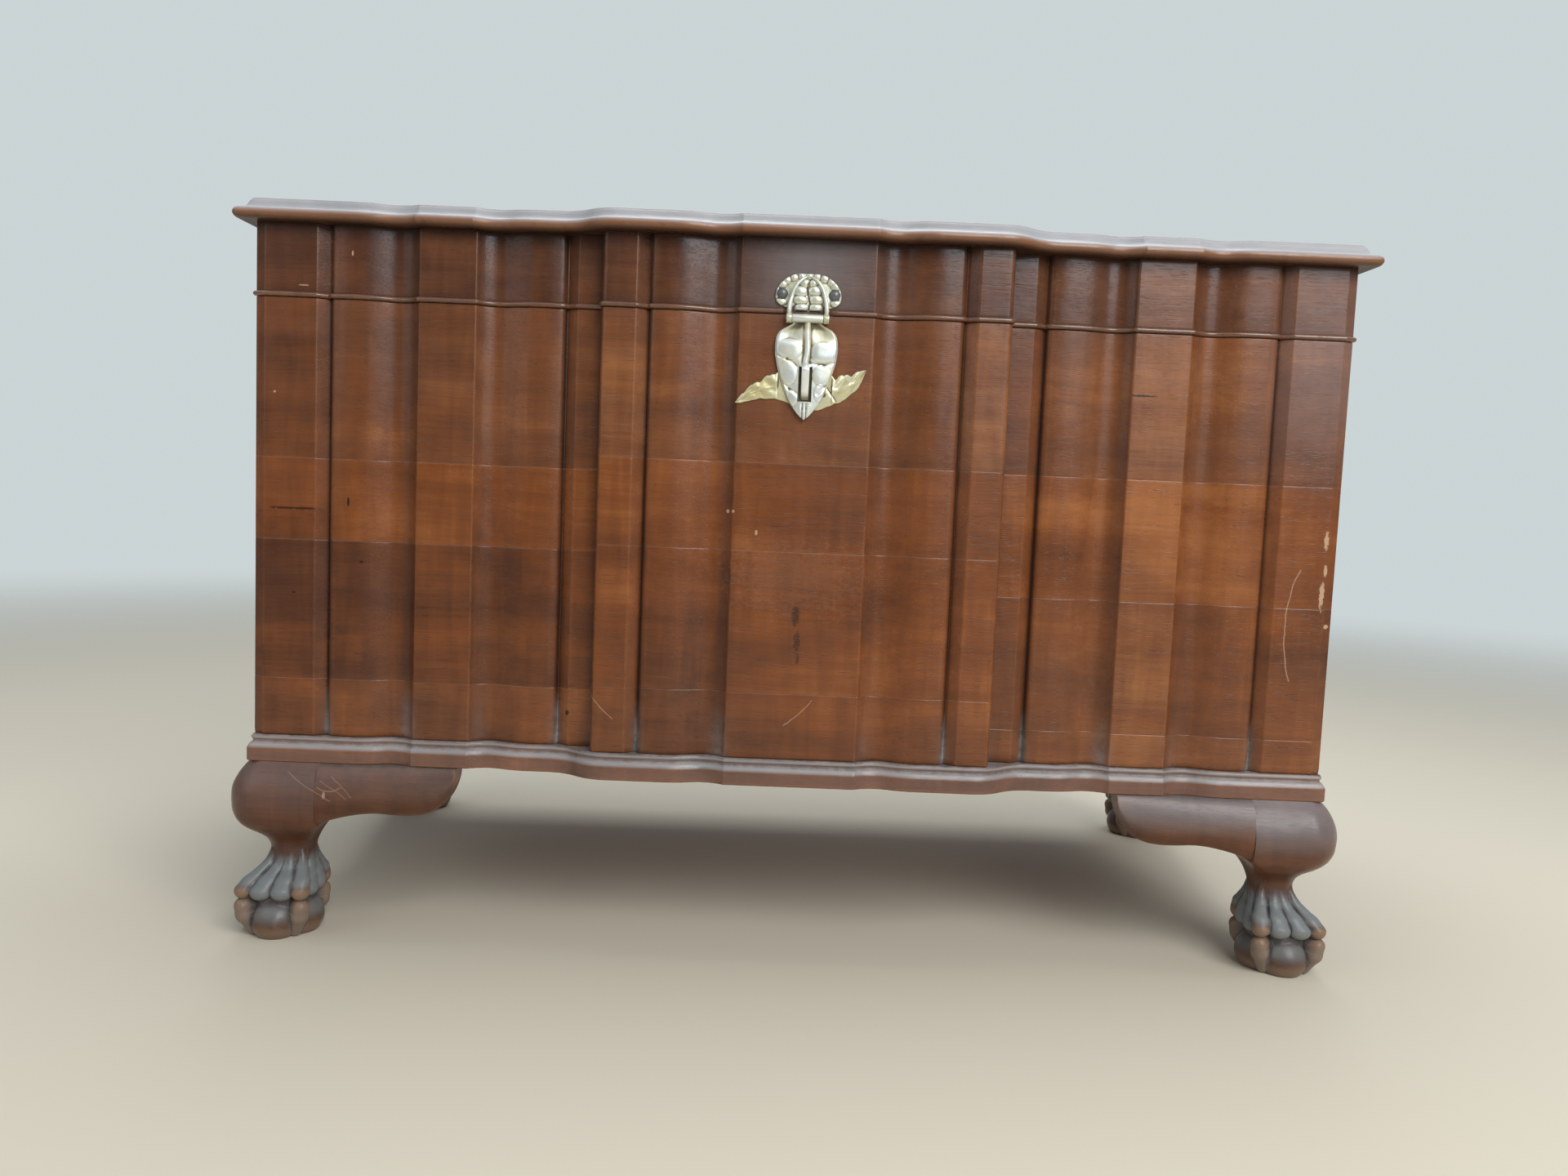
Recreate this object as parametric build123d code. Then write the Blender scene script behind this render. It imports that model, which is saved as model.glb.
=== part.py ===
from build123d import *
from math import sqrt
import os

os.makedirs("parts", exist_ok=True)

# A blanket chest with a waved breakfront, a moulded lid, a hasp and ball-and-claw feet.
# Millimetres. X runs to the right, Y to the back, Z up. While it is built, Y = 0 is the
# face of the two end bands of the front; export moves the origin to the middle of the base.

# ---------------------------------------------------------------- driving dimensions
body_width = 1070.0
body_depth = 520.0
foot_height = 180.0
base_height = 26.0
case_height = 430.0
skirt_height = 71.0
lid_thickness = 21.0
lid_gap = 0.4

# the plan of the front, from the middle outwards
centre_flat = 128.0
centre_band = 45.0
side_band = 38.0
side_flat = 55.0
end_band = 72.0
waves_per_half = 3
centre_step = 24.0
groove_depth = 9.0
groove_splay = 12.0
groove_round_run = 6.4
step_round = 5.0
corner_chamfer_x = 10.0
corner_chamfer_y = 5.0

# one wave: a hollow beside the arris and a swell towards the groove
hollow_run = 21.0
hollow_depth = 10.0
swell_radius = 85.0
swell_setback = 1.0

# the calmer plan line of the lid edge and of the base moulding
cove_run = 21.0
cove_depth = 7.0
calm_swell_radius = 77.0
step_run = 60.0
step_shift = 14.0

# boards
front_wall = 26.0
side_wall = 22.0
back_wall = 22.0
floor_thickness = 16.0
left_seams = (482.0, 402.0, 264.0)
centre_seams = (495.0, 410.0, 271.0)
right_seams = (494.0, 373.0, 240.0)

# base frame
base_projection = 5.0
base_rail = 60.0
base_lip_height = 13.0
base_ovolo_height = 5.5
base_ovolo_projection = 2.2
base_neck_projection = 0.8
base_corner_round = 4.0

# lid
lid_overhang = 17.0
lid_corner_round = 8.0
lid_nose_height = 11.0
lid_nose_round = 4.0
lid_quirk = 2.5
lid_fillet = 0.6
lid_top_land = 2.0
lid_cove_hollow = 2.2
lid_top_projection = 4.0
lid_top_ease = 1.5
lid_plank_seams = (95.0, 236.0, 378.0)
bead_height = 5.1
bead_projection = 3.5
batten_width = 45.0
batten_thickness = 18.0
batten_end_inset = 255.0
batten_inset = 30.0
block_size = 20.0
block_length = 70.0
block_count = 4

# legs, measured outwards from the corner of the case (negative is inwards)
leg_stock = 150.0
knee_bulge = 24.0
knee_drop = 42.0
knee_inner = -70.0
knee_corner_round = 36.0
ankle_outer = -9.0
ankle_inner = -50.5
ankle_round = 20.0
ankle_drop = 100.0
neck_above_ball = 14.0
neck_round = 24.0
foot_centre = -22.5
ball_radius = 38.0
ball_height = 35.5
knuckle_height = 42.0
toe_reach = 28.3
toe_radius = 9.3
tendon_reach = 12.5
tendon_radius = 6.0
toe_back_reach = 22.0
toe_back_radius = 8.0
nail_reach = 26.0
nail_radius = 8.9
nail_tip_reach = 17.5
nail_tip_radius = 5.8
dowel_radius = 8.0
dowel_in_leg = 30.0
dowel_in_rail = 18.0
dowel_inset = 36.0
dowel_clearance = 0.1

# ears beside the knees
ear_length = 135.5
ear_back = 16.0
ear_low = 59.0
ear_mid = 47.5
ear_hook_run = 46.0
ear_sweep_run = 42.0
ear_sweep_rise = 16.5
ear_end_bulge = 9.0
ear_tuck = 4.0

# butt hinges
hinge_length = 60.0
hinge_end_inset = 185.0
hinge_leaf = 2.0
hinge_barrel = 4.0
hinge_pin = 2.0
hinge_offset = 4.5
hinge_leaf_depth = 18.0
knuckle_count = 5
running_gap = 0.06
side_gap = 0.3
screw_head = 3.4
screw_sink = 1.6
screw_shank = 1.5
screw_length = 14.0
screw_pitch = 20.0
screw_clearance = 0.05

# hasp
plate_thickness = 3.0
plate_width = 64.0
plate_low = 3.0
plate_high = 39.0
plate_chamfer_x = 8.0
plate_chamfer_z = 6.0
lobe_radius = 12.5
lobe_overlap = 11.2
plate_screw_spread = 50.0
plate_screw_height = 19.0
lug_width = 5.3
lug_spread = 30.0
lug_radius = 5.0
hasp_pin = 1.5
hasp_barrel = 4.0
hasp_drop = 4.0
hasp_stand = 6.0
hasp_overrun = 1.0
flap_width = 60.0
flap_length = 95.0
flap_shoulder = 27.0
flap_neck = 8.0
flap_waist = 15.0
flap_thickness = 2.2
flap_air = 0.6
slot_width = 12.5
slot_top = 45.0
slot_bottom = 78.0
catch_thickness = 2.0
catch_left = 66.0
catch_right = 58.0
catch_rise = 24.0
catch_fall = 20.0
catch_screw_left = 44.0
catch_screw_left_drop = 72.0
catch_screw_right = 41.0
catch_screw_right_drop = 54.0
catch_screw_head = 2.6
staple_width = 7.4
staple_wall = 1.9
staple_tail = 2.0
eye_radius = 2.3
eye_air = 0.3
eye_height = 26.0
staple_root = 14.0
dome_radius = 5.5
dome_height = 3.4

# ---------------------------------------------------------------- levels and stations
base_bottom = foot_height
case_bottom = base_bottom + base_height
case_top = case_bottom + case_height
lid_bottom = case_top + lid_gap
skirt_bottom = lid_bottom + bead_height
lid_under = case_top + skirt_height
lid_top = lid_under + lid_thickness

x_side = body_width / 2
x_centre_arris = centre_flat / 2
bands_and_flats = x_centre_arris + centre_band + side_band + side_flat + end_band
wave_width = (x_side - bands_and_flats) / waves_per_half
x_centre_groove = x_centre_arris + wave_width
x_step = x_centre_groove + centre_band
x_inner_groove = x_step + side_band
x_inner_arris = x_inner_groove + wave_width
x_outer_arris = x_inner_arris + side_flat
x_outer_groove = x_outer_arris + wave_width

front_reach = centre_step + lid_overhang
back_reach = body_depth + knee_bulge
y_middle = (back_reach - front_reach) / 2

made = {}


def keep(name, solid):
    made[name] = solid


def block(x0, x1, y0, y1, z0, z1):
    size = (x1 - x0, y1 - y0, z1 - z0)
    return Pos((x0 + x1) / 2, (y0 + y1) / 2, (z0 + z1) / 2) * Box(*size)


def rod(radius, start, length, axis):
    """A round bar of one radius, from its start point along an axis."""
    return Solid.make_cylinder(radius, length, Plane(origin=start, z_dir=axis))


def arc_about(centre, start, end):
    """The short arc about a centre, from start to end."""
    half = Vector(*start) + Vector(*end) - 2 * Vector(*centre)
    radius = (Vector(*start) - Vector(*centre)).length
    return ThreePointArc(start, Vector(*centre) + half.normalized() * radius, end)


def mirrored(shapes):
    return [mirror(s, about=Plane.YZ) for s in shapes]


# ---------------------------------------------------------------- plan lines
def wave(groove, arris, level):
    """Edges of one wave, from the foot of its groove to its arris."""
    way = 1 if arris > groove else -1
    radius = (hollow_run ** 2 + hollow_depth ** 2) / (2 * hollow_depth)
    reach = radius + swell_radius
    hollow = (arris - way * hollow_run, level + hollow_depth - radius)
    drop = hollow_depth - swell_setback
    swell_x = hollow[0] - way * sqrt(reach ** 2 - (reach - drop) ** 2)
    swell = (swell_x, level + swell_setback + swell_radius)
    share = radius / reach
    meet = (hollow[0] + (swell[0] - hollow[0]) * share, hollow[1] + (swell[1] - hollow[1]) * share)
    brow_x = groove + way * groove_round_run
    brow = (brow_x, swell[1] - sqrt(swell_radius ** 2 - (brow_x - swell_x) ** 2))
    tangent = (-way * (swell[1] - brow[1]), -way * (brow_x - swell_x))
    foot = (groove, level + groove_depth)
    return [
        TangentArc(brow, foot, tangent=tangent),
        arc_about(swell, meet, brow),
        arc_about(hollow, (arris, level), meet),
    ]


def half_front(out):
    """The waved front from the middle to the corner, brought forward by out."""
    centre = -centre_step - out
    side = -out
    edge = x_step + out
    corner = x_side + out
    lines = [Line((0, centre), (x_centre_arris, centre))]
    lines += wave(x_centre_groove, x_centre_arris, centre)
    lines += [
        Line((x_centre_groove, centre + groove_depth), (x_centre_groove + groove_splay, centre)),
        Line((x_centre_groove + groove_splay, centre), (edge - step_round, centre)),
        arc_about((edge - step_round, centre + step_round), (edge - step_round, centre),
                  (edge, centre + step_round)),
        Line((edge, centre + step_round), (edge, side)),
        Line((edge, side), (x_inner_groove - groove_splay, side)),
        Line((x_inner_groove - groove_splay, side), (x_inner_groove, side + groove_depth)),
    ]
    lines += wave(x_inner_groove, x_inner_arris, side)
    lines += [Line((x_inner_arris, side), (x_outer_arris, side))]
    lines += wave(x_outer_groove, x_outer_arris, side)
    lines += [
        Line((x_outer_groove, side + groove_depth), (x_outer_groove + groove_splay, side)),
        Line((x_outer_groove + groove_splay, side), (corner - corner_chamfer_x, side)),
        Line((corner - corner_chamfer_x, side), (corner, side + corner_chamfer_y)),
    ]
    return lines


def front_wall_face(out):
    half = half_front(out)
    corner = x_side + out
    end = (corner, corner_chamfer_y - out)
    half += [Line(end, (corner, front_wall)), Line((corner, front_wall), (0, front_wall))]
    return make_face(half + mirrored(half))


def calm_cove(arris, way, level):
    """Edges of one calm wave, from its arris to where it is level again."""
    radius = (cove_run ** 2 + cove_depth ** 2) / (2 * cove_depth)
    reach = radius + calm_swell_radius
    span = sqrt(reach ** 2 - (reach - cove_depth) ** 2)
    hollow = (arris + way * cove_run, level + cove_depth - radius)
    swell = (hollow[0] + way * span, level + calm_swell_radius)
    share = radius / reach
    meet = (hollow[0] + (swell[0] - hollow[0]) * share, hollow[1] + (swell[1] - hollow[1]) * share)
    level_again = (swell[0], level)
    return [arc_about(hollow, (arris, level), meet), arc_about(swell, meet, level_again)], level_again


def half_calm(out, corner_round):
    """The calm front line from the middle round the corner to the back."""
    centre = -centre_step - out
    side = -out
    corner = x_side + out
    first, first_end = calm_cove(x_centre_arris, 1, centre)
    second, second_end = calm_cove(x_inner_arris, -1, side)
    third, third_end = calm_cove(x_outer_arris, 1, side)
    middle = x_step + step_shift
    near = (middle - step_run / 2, centre)
    far = (middle + step_run / 2, side)
    turn = (middle, (centre + side) / 2)
    bend = ((step_run / 2) ** 2 + (centre_step / 2) ** 2) / centre_step
    lines = [Line((0, centre), (x_centre_arris, centre))]
    lines += first
    lines += [
        Line(first_end, near),
        arc_about((near[0], centre + bend), near, turn),
        arc_about((far[0], side - bend), turn, far),
        Line(far, second_end),
    ]
    lines += second
    lines += [Line((x_inner_arris, side), (x_outer_arris, side))]
    lines += third
    radius = corner_round
    lines += [
        Line(third_end, (corner - radius, side)),
        arc_about((corner - radius, side + radius), (corner - radius, side), (corner, side + radius)),
        Line((corner, side + radius), (corner, body_depth)),
        Line((corner, body_depth), (0, body_depth)),
    ]
    return lines


def calm_face(out, corner_round, z):
    half = half_calm(out, corner_round)
    return Pos(0, 0, z) * make_face(half + mirrored(half))


def moulded(stations, corner_round):
    """A slab whose edge passes through (height, projection) stations."""
    sections = [calm_face(out, corner_round, z) for z, out in stations]
    return loft(sections, ruled=True)


# ---------------------------------------------------------------- screws
def screw(point, axis):
    """A flat-headed screw whose head is flush at the point; axis points into the work."""
    plane = Plane(origin=point, z_dir=axis)
    head = plane * (Pos(0, 0, screw_sink / 2) * Cone(screw_head, screw_shank, screw_sink))
    return head + rod(screw_shank, point, screw_length, axis)


def screw_hole(point, axis):
    plane = Plane(origin=point, z_dir=axis)
    grow = screw_clearance
    head = plane * (Pos(0, 0, screw_sink / 2) * Cone(screw_head + grow, screw_shank + grow, screw_sink))
    return head + rod(screw_shank + grow, point, screw_length + grow, axis)


# ---------------------------------------------------------------- hinges
hinge_y = body_depth + hinge_offset
hinge_z = case_top + lid_gap / 2
knuckle = hinge_length / knuckle_count


def leaf(centre_x, upper):
    """One leaf with its knuckles; the upper one is on the lid."""
    low = lid_bottom if upper else case_top - hinge_leaf
    high = low + hinge_leaf
    start = centre_x - hinge_length / 2
    plate = block(start, start + hinge_length, body_depth - hinge_leaf_depth, body_depth, low, high)
    own = range(1, knuckle_count, 2) if upper else range(0, knuckle_count, 2)
    for k in own:
        x0 = start + k * knuckle + side_gap / 2
        x1 = x0 + knuckle - side_gap
        plate += block(x0, x1, body_depth - hinge_leaf, hinge_y, low, high)
        plate += rod(hinge_barrel, (x0, hinge_y, hinge_z), x1 - x0, (1, 0, 0))
    bore = rod(hinge_pin + running_gap, (start - 1, hinge_y, hinge_z), hinge_length + 2, (1, 0, 0))
    plate -= bore
    for point in leaf_screw_points(centre_x, upper):
        plate -= screw_hole(point, (0, 0, 1) if upper else (0, 0, -1))
    return plate


def leaf_screw_points(centre_x, upper):
    z = lid_bottom if upper else case_top
    y = body_depth - hinge_leaf_depth / 2
    return [(centre_x + k * screw_pitch, y, z) for k in (-1, 0, 1)]


def leaf_seat(centre_x, upper):
    low = lid_bottom if upper else case_top - hinge_leaf
    start = centre_x - hinge_length / 2
    return block(start, start + hinge_length, body_depth - hinge_leaf_depth, body_depth + 1,
                 low, low + hinge_leaf)


hinge_x = x_side - hinge_end_inset
hinge_sides = {"left": -hinge_x, "right": hinge_x}


def seated_hinges(solid, upper):
    """Cuts the leaf seats and the pilot holes of both hinges."""
    for centre_x in hinge_sides.values():
        solid -= leaf_seat(centre_x, upper)
        for point in leaf_screw_points(centre_x, upper):
            solid -= screw_hole(point, (0, 0, 1) if upper else (0, 0, -1))
    return solid


# ---------------------------------------------------------------- case
def panel_piece(solid, x0, x1, z0, z1):
    return solid & block(x0, x1, -centre_step * 2, front_wall, z0, z1)


def make_front():
    wall = Pos(0, 0, case_bottom) * extrude(front_wall_face(0), amount=case_height)
    panels = {
        "left": (-x_side, -x_step, left_seams),
        "centre": (-x_step, x_step, centre_seams),
        "right": (x_step, x_side, right_seams),
    }
    for side, (x0, x1, seams) in panels.items():
        levels = (case_top,) + seams + (case_bottom,)
        for k in range(len(levels) - 1):
            board = panel_piece(wall, x0, x1, levels[k + 1], levels[k])
            if side == "centre" and k < 2:
                board -= catch_holes()
            keep(f"front_{side}_board_{k + 1}", board)


def make_case():
    inner_x = x_side - side_wall
    for side, way in (("left", -1), ("right", 1)):
        x0, x1 = sorted((way * inner_x, way * x_side))
        keep(f"case_side_{side}", block(x0, x1, front_wall, body_depth, case_bottom, case_top))
    back = block(-inner_x, inner_x, body_depth - back_wall, body_depth, case_bottom, case_top)
    keep("case_back", seated_hinges(back, False))
    keep("case_floor", block(-inner_x, inner_x, front_wall, body_depth - back_wall,
                             case_bottom, case_bottom + floor_thickness))


# ---------------------------------------------------------------- base frame
def dowel_points():
    x = x_side - dowel_inset
    ys = (dowel_inset, body_depth - dowel_inset)
    return [(way * x, y, foot_height - dowel_in_leg) for way in (-1, 1) for y in ys]


def dowel_holes():
    length = dowel_in_leg + dowel_in_rail + dowel_clearance
    return [rod(dowel_radius + dowel_clearance, p, length, (0, 0, 1)) for p in dowel_points()]


def make_base():
    lip_top = base_bottom + base_lip_height
    ovolo_top = lip_top + base_ovolo_height
    ovolo_mid = (base_projection * 3 + base_ovolo_projection) / 4
    stations = [(base_bottom, base_projection), (lip_top, base_projection),
                ((lip_top + ovolo_top * 2) / 3, ovolo_mid), (ovolo_top, base_ovolo_projection),
                (case_bottom, base_neck_projection)]
    x_out = x_side + base_projection
    x_in = x_out - base_rail
    y_out = -base_projection
    y_in = y_out + base_rail
    y_back = body_depth
    y_back_in = y_back - base_rail
    ring = moulded(stations, base_corner_round)
    ring -= block(-x_in, x_in, y_in, y_back_in, base_bottom - 1, case_bottom + 1)
    for hole in dowel_holes():
        ring -= hole
    wide = x_out + base_rail
    ahead = y_out - base_rail
    behind = y_back + base_rail
    cuts = {
        "front": [(x_in, y_in), (x_out, y_out), (wide, ahead), (-wide, ahead), (-x_out, y_out),
                  (-x_in, y_in)],
        "right": [(x_in, y_in), (x_in, y_back_in), (x_out, y_back), (wide, behind), (wide, ahead),
                  (x_out, y_out)],
        "back": [(x_in, y_back_in), (-x_in, y_back_in), (-x_out, y_back), (-wide, behind),
                 (wide, behind), (x_out, y_back)],
        "left": [(-x_in, y_in), (-x_in, y_back_in), (-x_out, y_back), (-wide, behind),
                 (-wide, ahead), (-x_out, y_out)],
    }
    for side, points in cuts.items():
        wedge = extrude(make_face(Polyline(*points, close=True)), amount=base_height + 2)
        keep(f"base_{side}", ring & (Pos(0, 0, base_bottom - 1) * wedge))


# ---------------------------------------------------------------- legs
def profile_prism(x_dir, z_dir, outline):
    """A thick prism of an upright outline that stands on the corner of the case."""
    plane = Plane(origin=(x_side, 0, 0), x_dir=x_dir, z_dir=z_dir)
    return extrude(plane * make_face(outline), amount=leg_stock, both=True)


def corner_reach(edge, rounding):
    """How far a rounded square corner reaches along the diagonal."""
    return (edge - rounding) * sqrt(2) + rounding


def neck_level(share):
    """A height between the neck over the ball, at 0, and the ankle, at 1."""
    low = ball_height + neck_above_ball
    return low + share * (foot_height - ankle_drop - low)


def toe(way_u, way_w):
    """One claw, lofted through rings from the ankle over the knuckle to the floor."""
    ankle_centre = (ankle_outer + ankle_inner) / 2
    rings = [
        (neck_level(0.8), ankle_centre, tendon_reach, tendon_radius),
        (neck_level(0.3), (ankle_centre + foot_centre) / 2, toe_back_reach, toe_back_radius),
        (knuckle_height, foot_centre, toe_reach, toe_radius),
        (knuckle_height / 2, foot_centre, nail_reach, nail_radius),
        (0, foot_centre, nail_tip_reach, nail_tip_radius),
    ]
    faces = []
    for z, centre, reach, radius in rings:
        u = centre + way_u * reach
        w = centre + way_w * reach
        faces.append(Pos(x_side + u, -w, z) * Circle(radius).face())
    return loft(faces)


def leg_stations():
    """Height, outer edge and outer rounding, then the same for the inner edge."""
    knee = foot_height - knee_drop
    ankle = foot_height - ankle_drop
    outer = [
        (foot_height, base_projection, 20),
        (foot_height - 9, knee_bulge - 11, 25),
        (foot_height - 21, knee_bulge - 3, 31),
        (knee, knee_bulge, knee_corner_round),
        (knee - 14, knee_bulge - 3, knee_corner_round - 2),
        (ankle + 33, knee_bulge - 11, 30),
        (ankle + 24, ankle_outer + 11, 26),
        (ankle + 17, ankle_outer + 4, 23),
        (ankle + 10, ankle_outer + 0.5, ankle_round + 1),
        (ankle, ankle_outer, ankle_round),
        (neck_level(0.7), ankle_outer + 2.5, ankle_round + 1),
        (neck_level(0.4), ankle_outer + 8, ankle_round + 3),
        (neck_level(0), foot_centre + ball_radius - 7.5, neck_round),
    ]
    inner = [
        (ankle + 38, knee_inner, 4),
        (ankle + 29, knee_inner + 9, 10),
        (ankle + 19, ankle_inner - 4, 16),
        (ankle + 10, ankle_inner - 1, ankle_round - 1),
        (ankle, ankle_inner, ankle_round),
        (neck_level(0.67), ankle_inner + 0.5, ankle_round + 1),
        (neck_level(0.27), ankle_inner - 0.5, ankle_round + 3),
        (neck_level(0), foot_centre - ball_radius + 7.5, neck_round),
    ]
    return outer, inner


def make_leg():
    """The front right leg: one profile sawn from two sides, then its corners taken off."""
    outer, inner = leg_stations()
    top = foot_height

    def outline(outer_line, inner_line, inner_top):
        return [
            Spline(*outer_line),
            Line(outer_line[-1], inner_line[-1]),
            Spline(*inner_line[::-1]),
            Line(inner_line[0], inner_top),
            Line(inner_top, outer_line[0]),
        ]

    sawn = outline([(o, z) for z, o, r in outer], [(i, z) for z, i, r in inner], (knee_inner, top))
    leg = profile_prism((1, 0, 0), (0, -1, 0), sawn) & profile_prism((0, -1, 0), (-1, 0, 0), sawn)
    ridge = outline([(corner_reach(o, r), z) for z, o, r in outer],
                    [(-corner_reach(-i, r), z) for z, i, r in inner], (knee_inner * sqrt(2), top))
    leg &= profile_prism((1, -1, 0), (-1, -1, 0), ridge)

    wide = knee_bulge - knee_inner
    flank = [(wide, foot_height - ankle_drop + 40)]
    for (z, o, r), (z_inner, i, r_inner) in zip(outer[6:], inner[1:]):
        flank.append((corner_reach((o - i) / 2, (r + r_inner) / 2 - 1), z))
    left = [(-x, z) for x, z in flank]
    flanks = [
        Spline(*flank), Line(flank[-1], left[-1]), Spline(*left[::-1]), Line(left[0], (-wide, top)),
        Line((-wide, top), (wide, top)), Line((wide, top), flank[0]),
    ]
    leg &= profile_prism((1, 1, 0), (1, -1, 0), flanks)

    leg += Pos(x_side + foot_centre, -foot_centre, ball_height) * Sphere(ball_radius)
    for way_u in (-1, 1):
        for way_w in (-1, 1):
            leg += toe(way_u, way_w)
    leg &= block(x_side - leg_stock, x_side + leg_stock, -leg_stock, leg_stock, 0, foot_height)
    for hole in dowel_holes():
        leg -= hole
    return leg


def ear():
    """The front right ear, beside the knee, with its swelling face."""
    start = x_side + knee_inner
    end = start - ear_length
    top = foot_height
    low = foot_height - ear_low
    mid = foot_height - ear_mid
    hook = start - ear_hook_run
    turn = end + ear_sweep_run

    def at(x, z):
        return (x, 0, z)

    outline = [
        ThreePointArc(at(start, low), at((start + hook) / 2, low + (mid - low) * 0.7), at(hook, mid)),
        Line(at(hook, mid), at(turn, mid - 1)),
        ThreePointArc(at(turn, mid - 1), at(end + ear_sweep_run * 0.21, mid + ear_sweep_rise),
                      at(end, top)),
        Line(at(end, top), at(start, top)),
        Line(at(start, top), at(start, low)),
    ]
    reach = knee_bulge * 2
    sheet = extrude(make_face(outline), amount=reach * 2, dir=(0, 1, 0))
    sheet = Pos(0, -reach, 0) * sheet
    under = low - 2 * ear_tuck

    def section(x, crown, rim):
        arc = ThreePointArc((x, -rim, top), (x, -crown, low + ear_low * 0.3),
                            (x, -crown + ear_tuck, under))
        edges = [
            arc,
            Line((x, -crown + ear_tuck, under), (x, ear_back, under)),
            Line((x, ear_back, under), (x, ear_back, top)),
            Line((x, ear_back, top), (x, -rim, top)),
        ]
        return make_face(edges)

    near = section(start, knee_bulge - 1, base_projection)
    far = section(end, ear_end_bulge, 0)
    return sheet & loft([near, far], ruled=True)


def make_legs():
    leg = make_leg()
    front_ear = ear()
    diagonal = Plane(origin=(x_side, 0, 0), z_dir=(1, 1, 0))
    across = Plane(origin=(0, body_depth / 2, 0), z_dir=(0, 1, 0))
    side_ear = mirror(front_ear, about=diagonal)
    right = {
        "leg_front": leg,
        "leg_back": mirror(leg, about=across),
        "ear_front": front_ear,
        "ear_side_front": side_ear,
        "ear_side_back": mirror(side_ear, about=across),
    }
    for name, solid in right.items():
        keep(f"{name}_right", solid)
        keep(f"{name}_left", mirror(solid, about=Plane.YZ))
    length = dowel_in_leg + dowel_in_rail
    keep("leg_dowels", Compound([rod(dowel_radius, p, length, (0, 0, 1)) for p in dowel_points()]))


# ---------------------------------------------------------------- lid
def lid_stations():
    nose_top = lid_under + lid_nose_height
    nose_mid = lid_under + lid_nose_height / 2
    eighth = lid_nose_round * 0.3
    quirk = lid_overhang - lid_nose_round - lid_quirk
    cove_top = lid_top - lid_top_land
    return [
        (lid_under, lid_overhang - lid_nose_round),
        (lid_under + eighth * 1.6, lid_overhang - eighth),
        (nose_mid, lid_overhang),
        (nose_top - eighth * 1.6, lid_overhang - eighth),
        (nose_top, lid_overhang - lid_nose_round),
        (nose_top + lid_fillet, quirk),
        ((nose_top + cove_top) / 2, quirk - lid_cove_hollow),
        (cove_top, lid_top_projection + lid_top_ease),
        (lid_top, lid_top_projection),
    ]


def make_lid():
    top = moulded(lid_stations(), lid_corner_round)
    edges = (-front_reach - 1,) + lid_plank_seams + (body_depth + 1,)
    far = x_side + lid_overhang + 1
    for k in range(len(edges) - 1):
        keep(f"lid_plank_{k + 1}", top & block(-far, far, edges[k], edges[k + 1], lid_under, lid_top))

    height = lid_under - skirt_bottom
    wall = Pos(0, 0, skirt_bottom) * extrude(front_wall_face(0), amount=height)
    keep("skirt_front_left", panel_piece(wall, -x_side, -x_step, skirt_bottom, lid_under))
    centre = panel_piece(wall, -x_step, x_step, skirt_bottom, lid_under)
    for hole in plate_screw_holes():
        centre -= hole
    keep("skirt_front_centre", centre)
    keep("skirt_front_right", panel_piece(wall, x_step, x_side, skirt_bottom, lid_under))

    inner_x = x_side - side_wall
    for side, way in (("left", -1), ("right", 1)):
        x0, x1 = sorted((way * inner_x, way * x_side))
        keep(f"skirt_{side}", block(x0, x1, front_wall, body_depth, skirt_bottom, lid_under))
        x0, x1 = sorted((way * inner_x, way * (x_side + bead_projection)))
        keep(f"bead_{side}", block(x0, x1, front_wall, body_depth, lid_bottom, skirt_bottom))
    back = block(-inner_x, inner_x, body_depth - back_wall, body_depth, lid_bottom, lid_under)
    keep("skirt_back", seated_hinges(back, True))

    bead = Pos(0, 0, lid_bottom) * extrude(front_wall_face(bead_projection), amount=bead_height)
    notch = lug_spread / 2 + lug_width + 1
    bead -= block(-notch, notch, -centre_step - 2 * bead_projection, -centre_step,
                  lid_bottom - 1, skirt_bottom + 1)
    keep("bead_front", bead)

    y0 = front_wall + batten_inset
    y1 = body_depth - back_wall - batten_inset
    battens = []
    for way in (-1, 1):
        x = way * (x_side - batten_end_inset)
        battens.append(block(x - batten_width / 2, x + batten_width / 2, y0, y1,
                             lid_under - batten_thickness, lid_under))
    keep("lid_battens", Compound(battens))

    blocks = []
    pitch = (body_width - 2 * side_wall) / block_count
    for k in range(block_count):
        x = -inner_x + pitch * (k + 0.5)
        for y in (front_wall, body_depth - back_wall - block_size):
            blocks.append(block(x - block_length / 2, x + block_length / 2, y, y + block_size,
                                lid_under - block_size, lid_under))
    keep("lid_glue_blocks", Compound(blocks))


def make_hinges():
    for side, centre_x in hinge_sides.items():
        keep(f"hinge_{side}_case_leaf", leaf(centre_x, False))
        keep(f"hinge_{side}_lid_leaf", leaf(centre_x, True))
    pins = [rod(hinge_pin, (x - hinge_length / 2, hinge_y, hinge_z), hinge_length, (1, 0, 0))
            for x in hinge_sides.values()]
    keep("hinge_pins", Compound(pins))
    for name, upper in (("case", False), ("lid", True)):
        way = (0, 0, 1) if upper else (0, 0, -1)
        screws = [screw(p, way) for x in hinge_sides.values() for p in leaf_screw_points(x, upper)]
        keep(f"hinge_screws_{name}", Compound(screws))


# ---------------------------------------------------------------- hasp
hasp_face = -centre_step
pin_y = hasp_face - hasp_stand
pin_z = case_top - hasp_drop
catch_face = hasp_face - catch_thickness
flap_back = catch_face - flap_air
flap_front = flap_back - flap_thickness
eye_y = flap_front - eye_air - eye_radius
eye_z = pin_z - slot_bottom + eye_height


def upright(face, y_back, depth):
    """Stands a face drawn in X and Z up at y_back and thickens it forwards."""
    return Pos(0, y_back, 0) * extrude(face, amount=depth, dir=(0, -1, 0))


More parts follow.
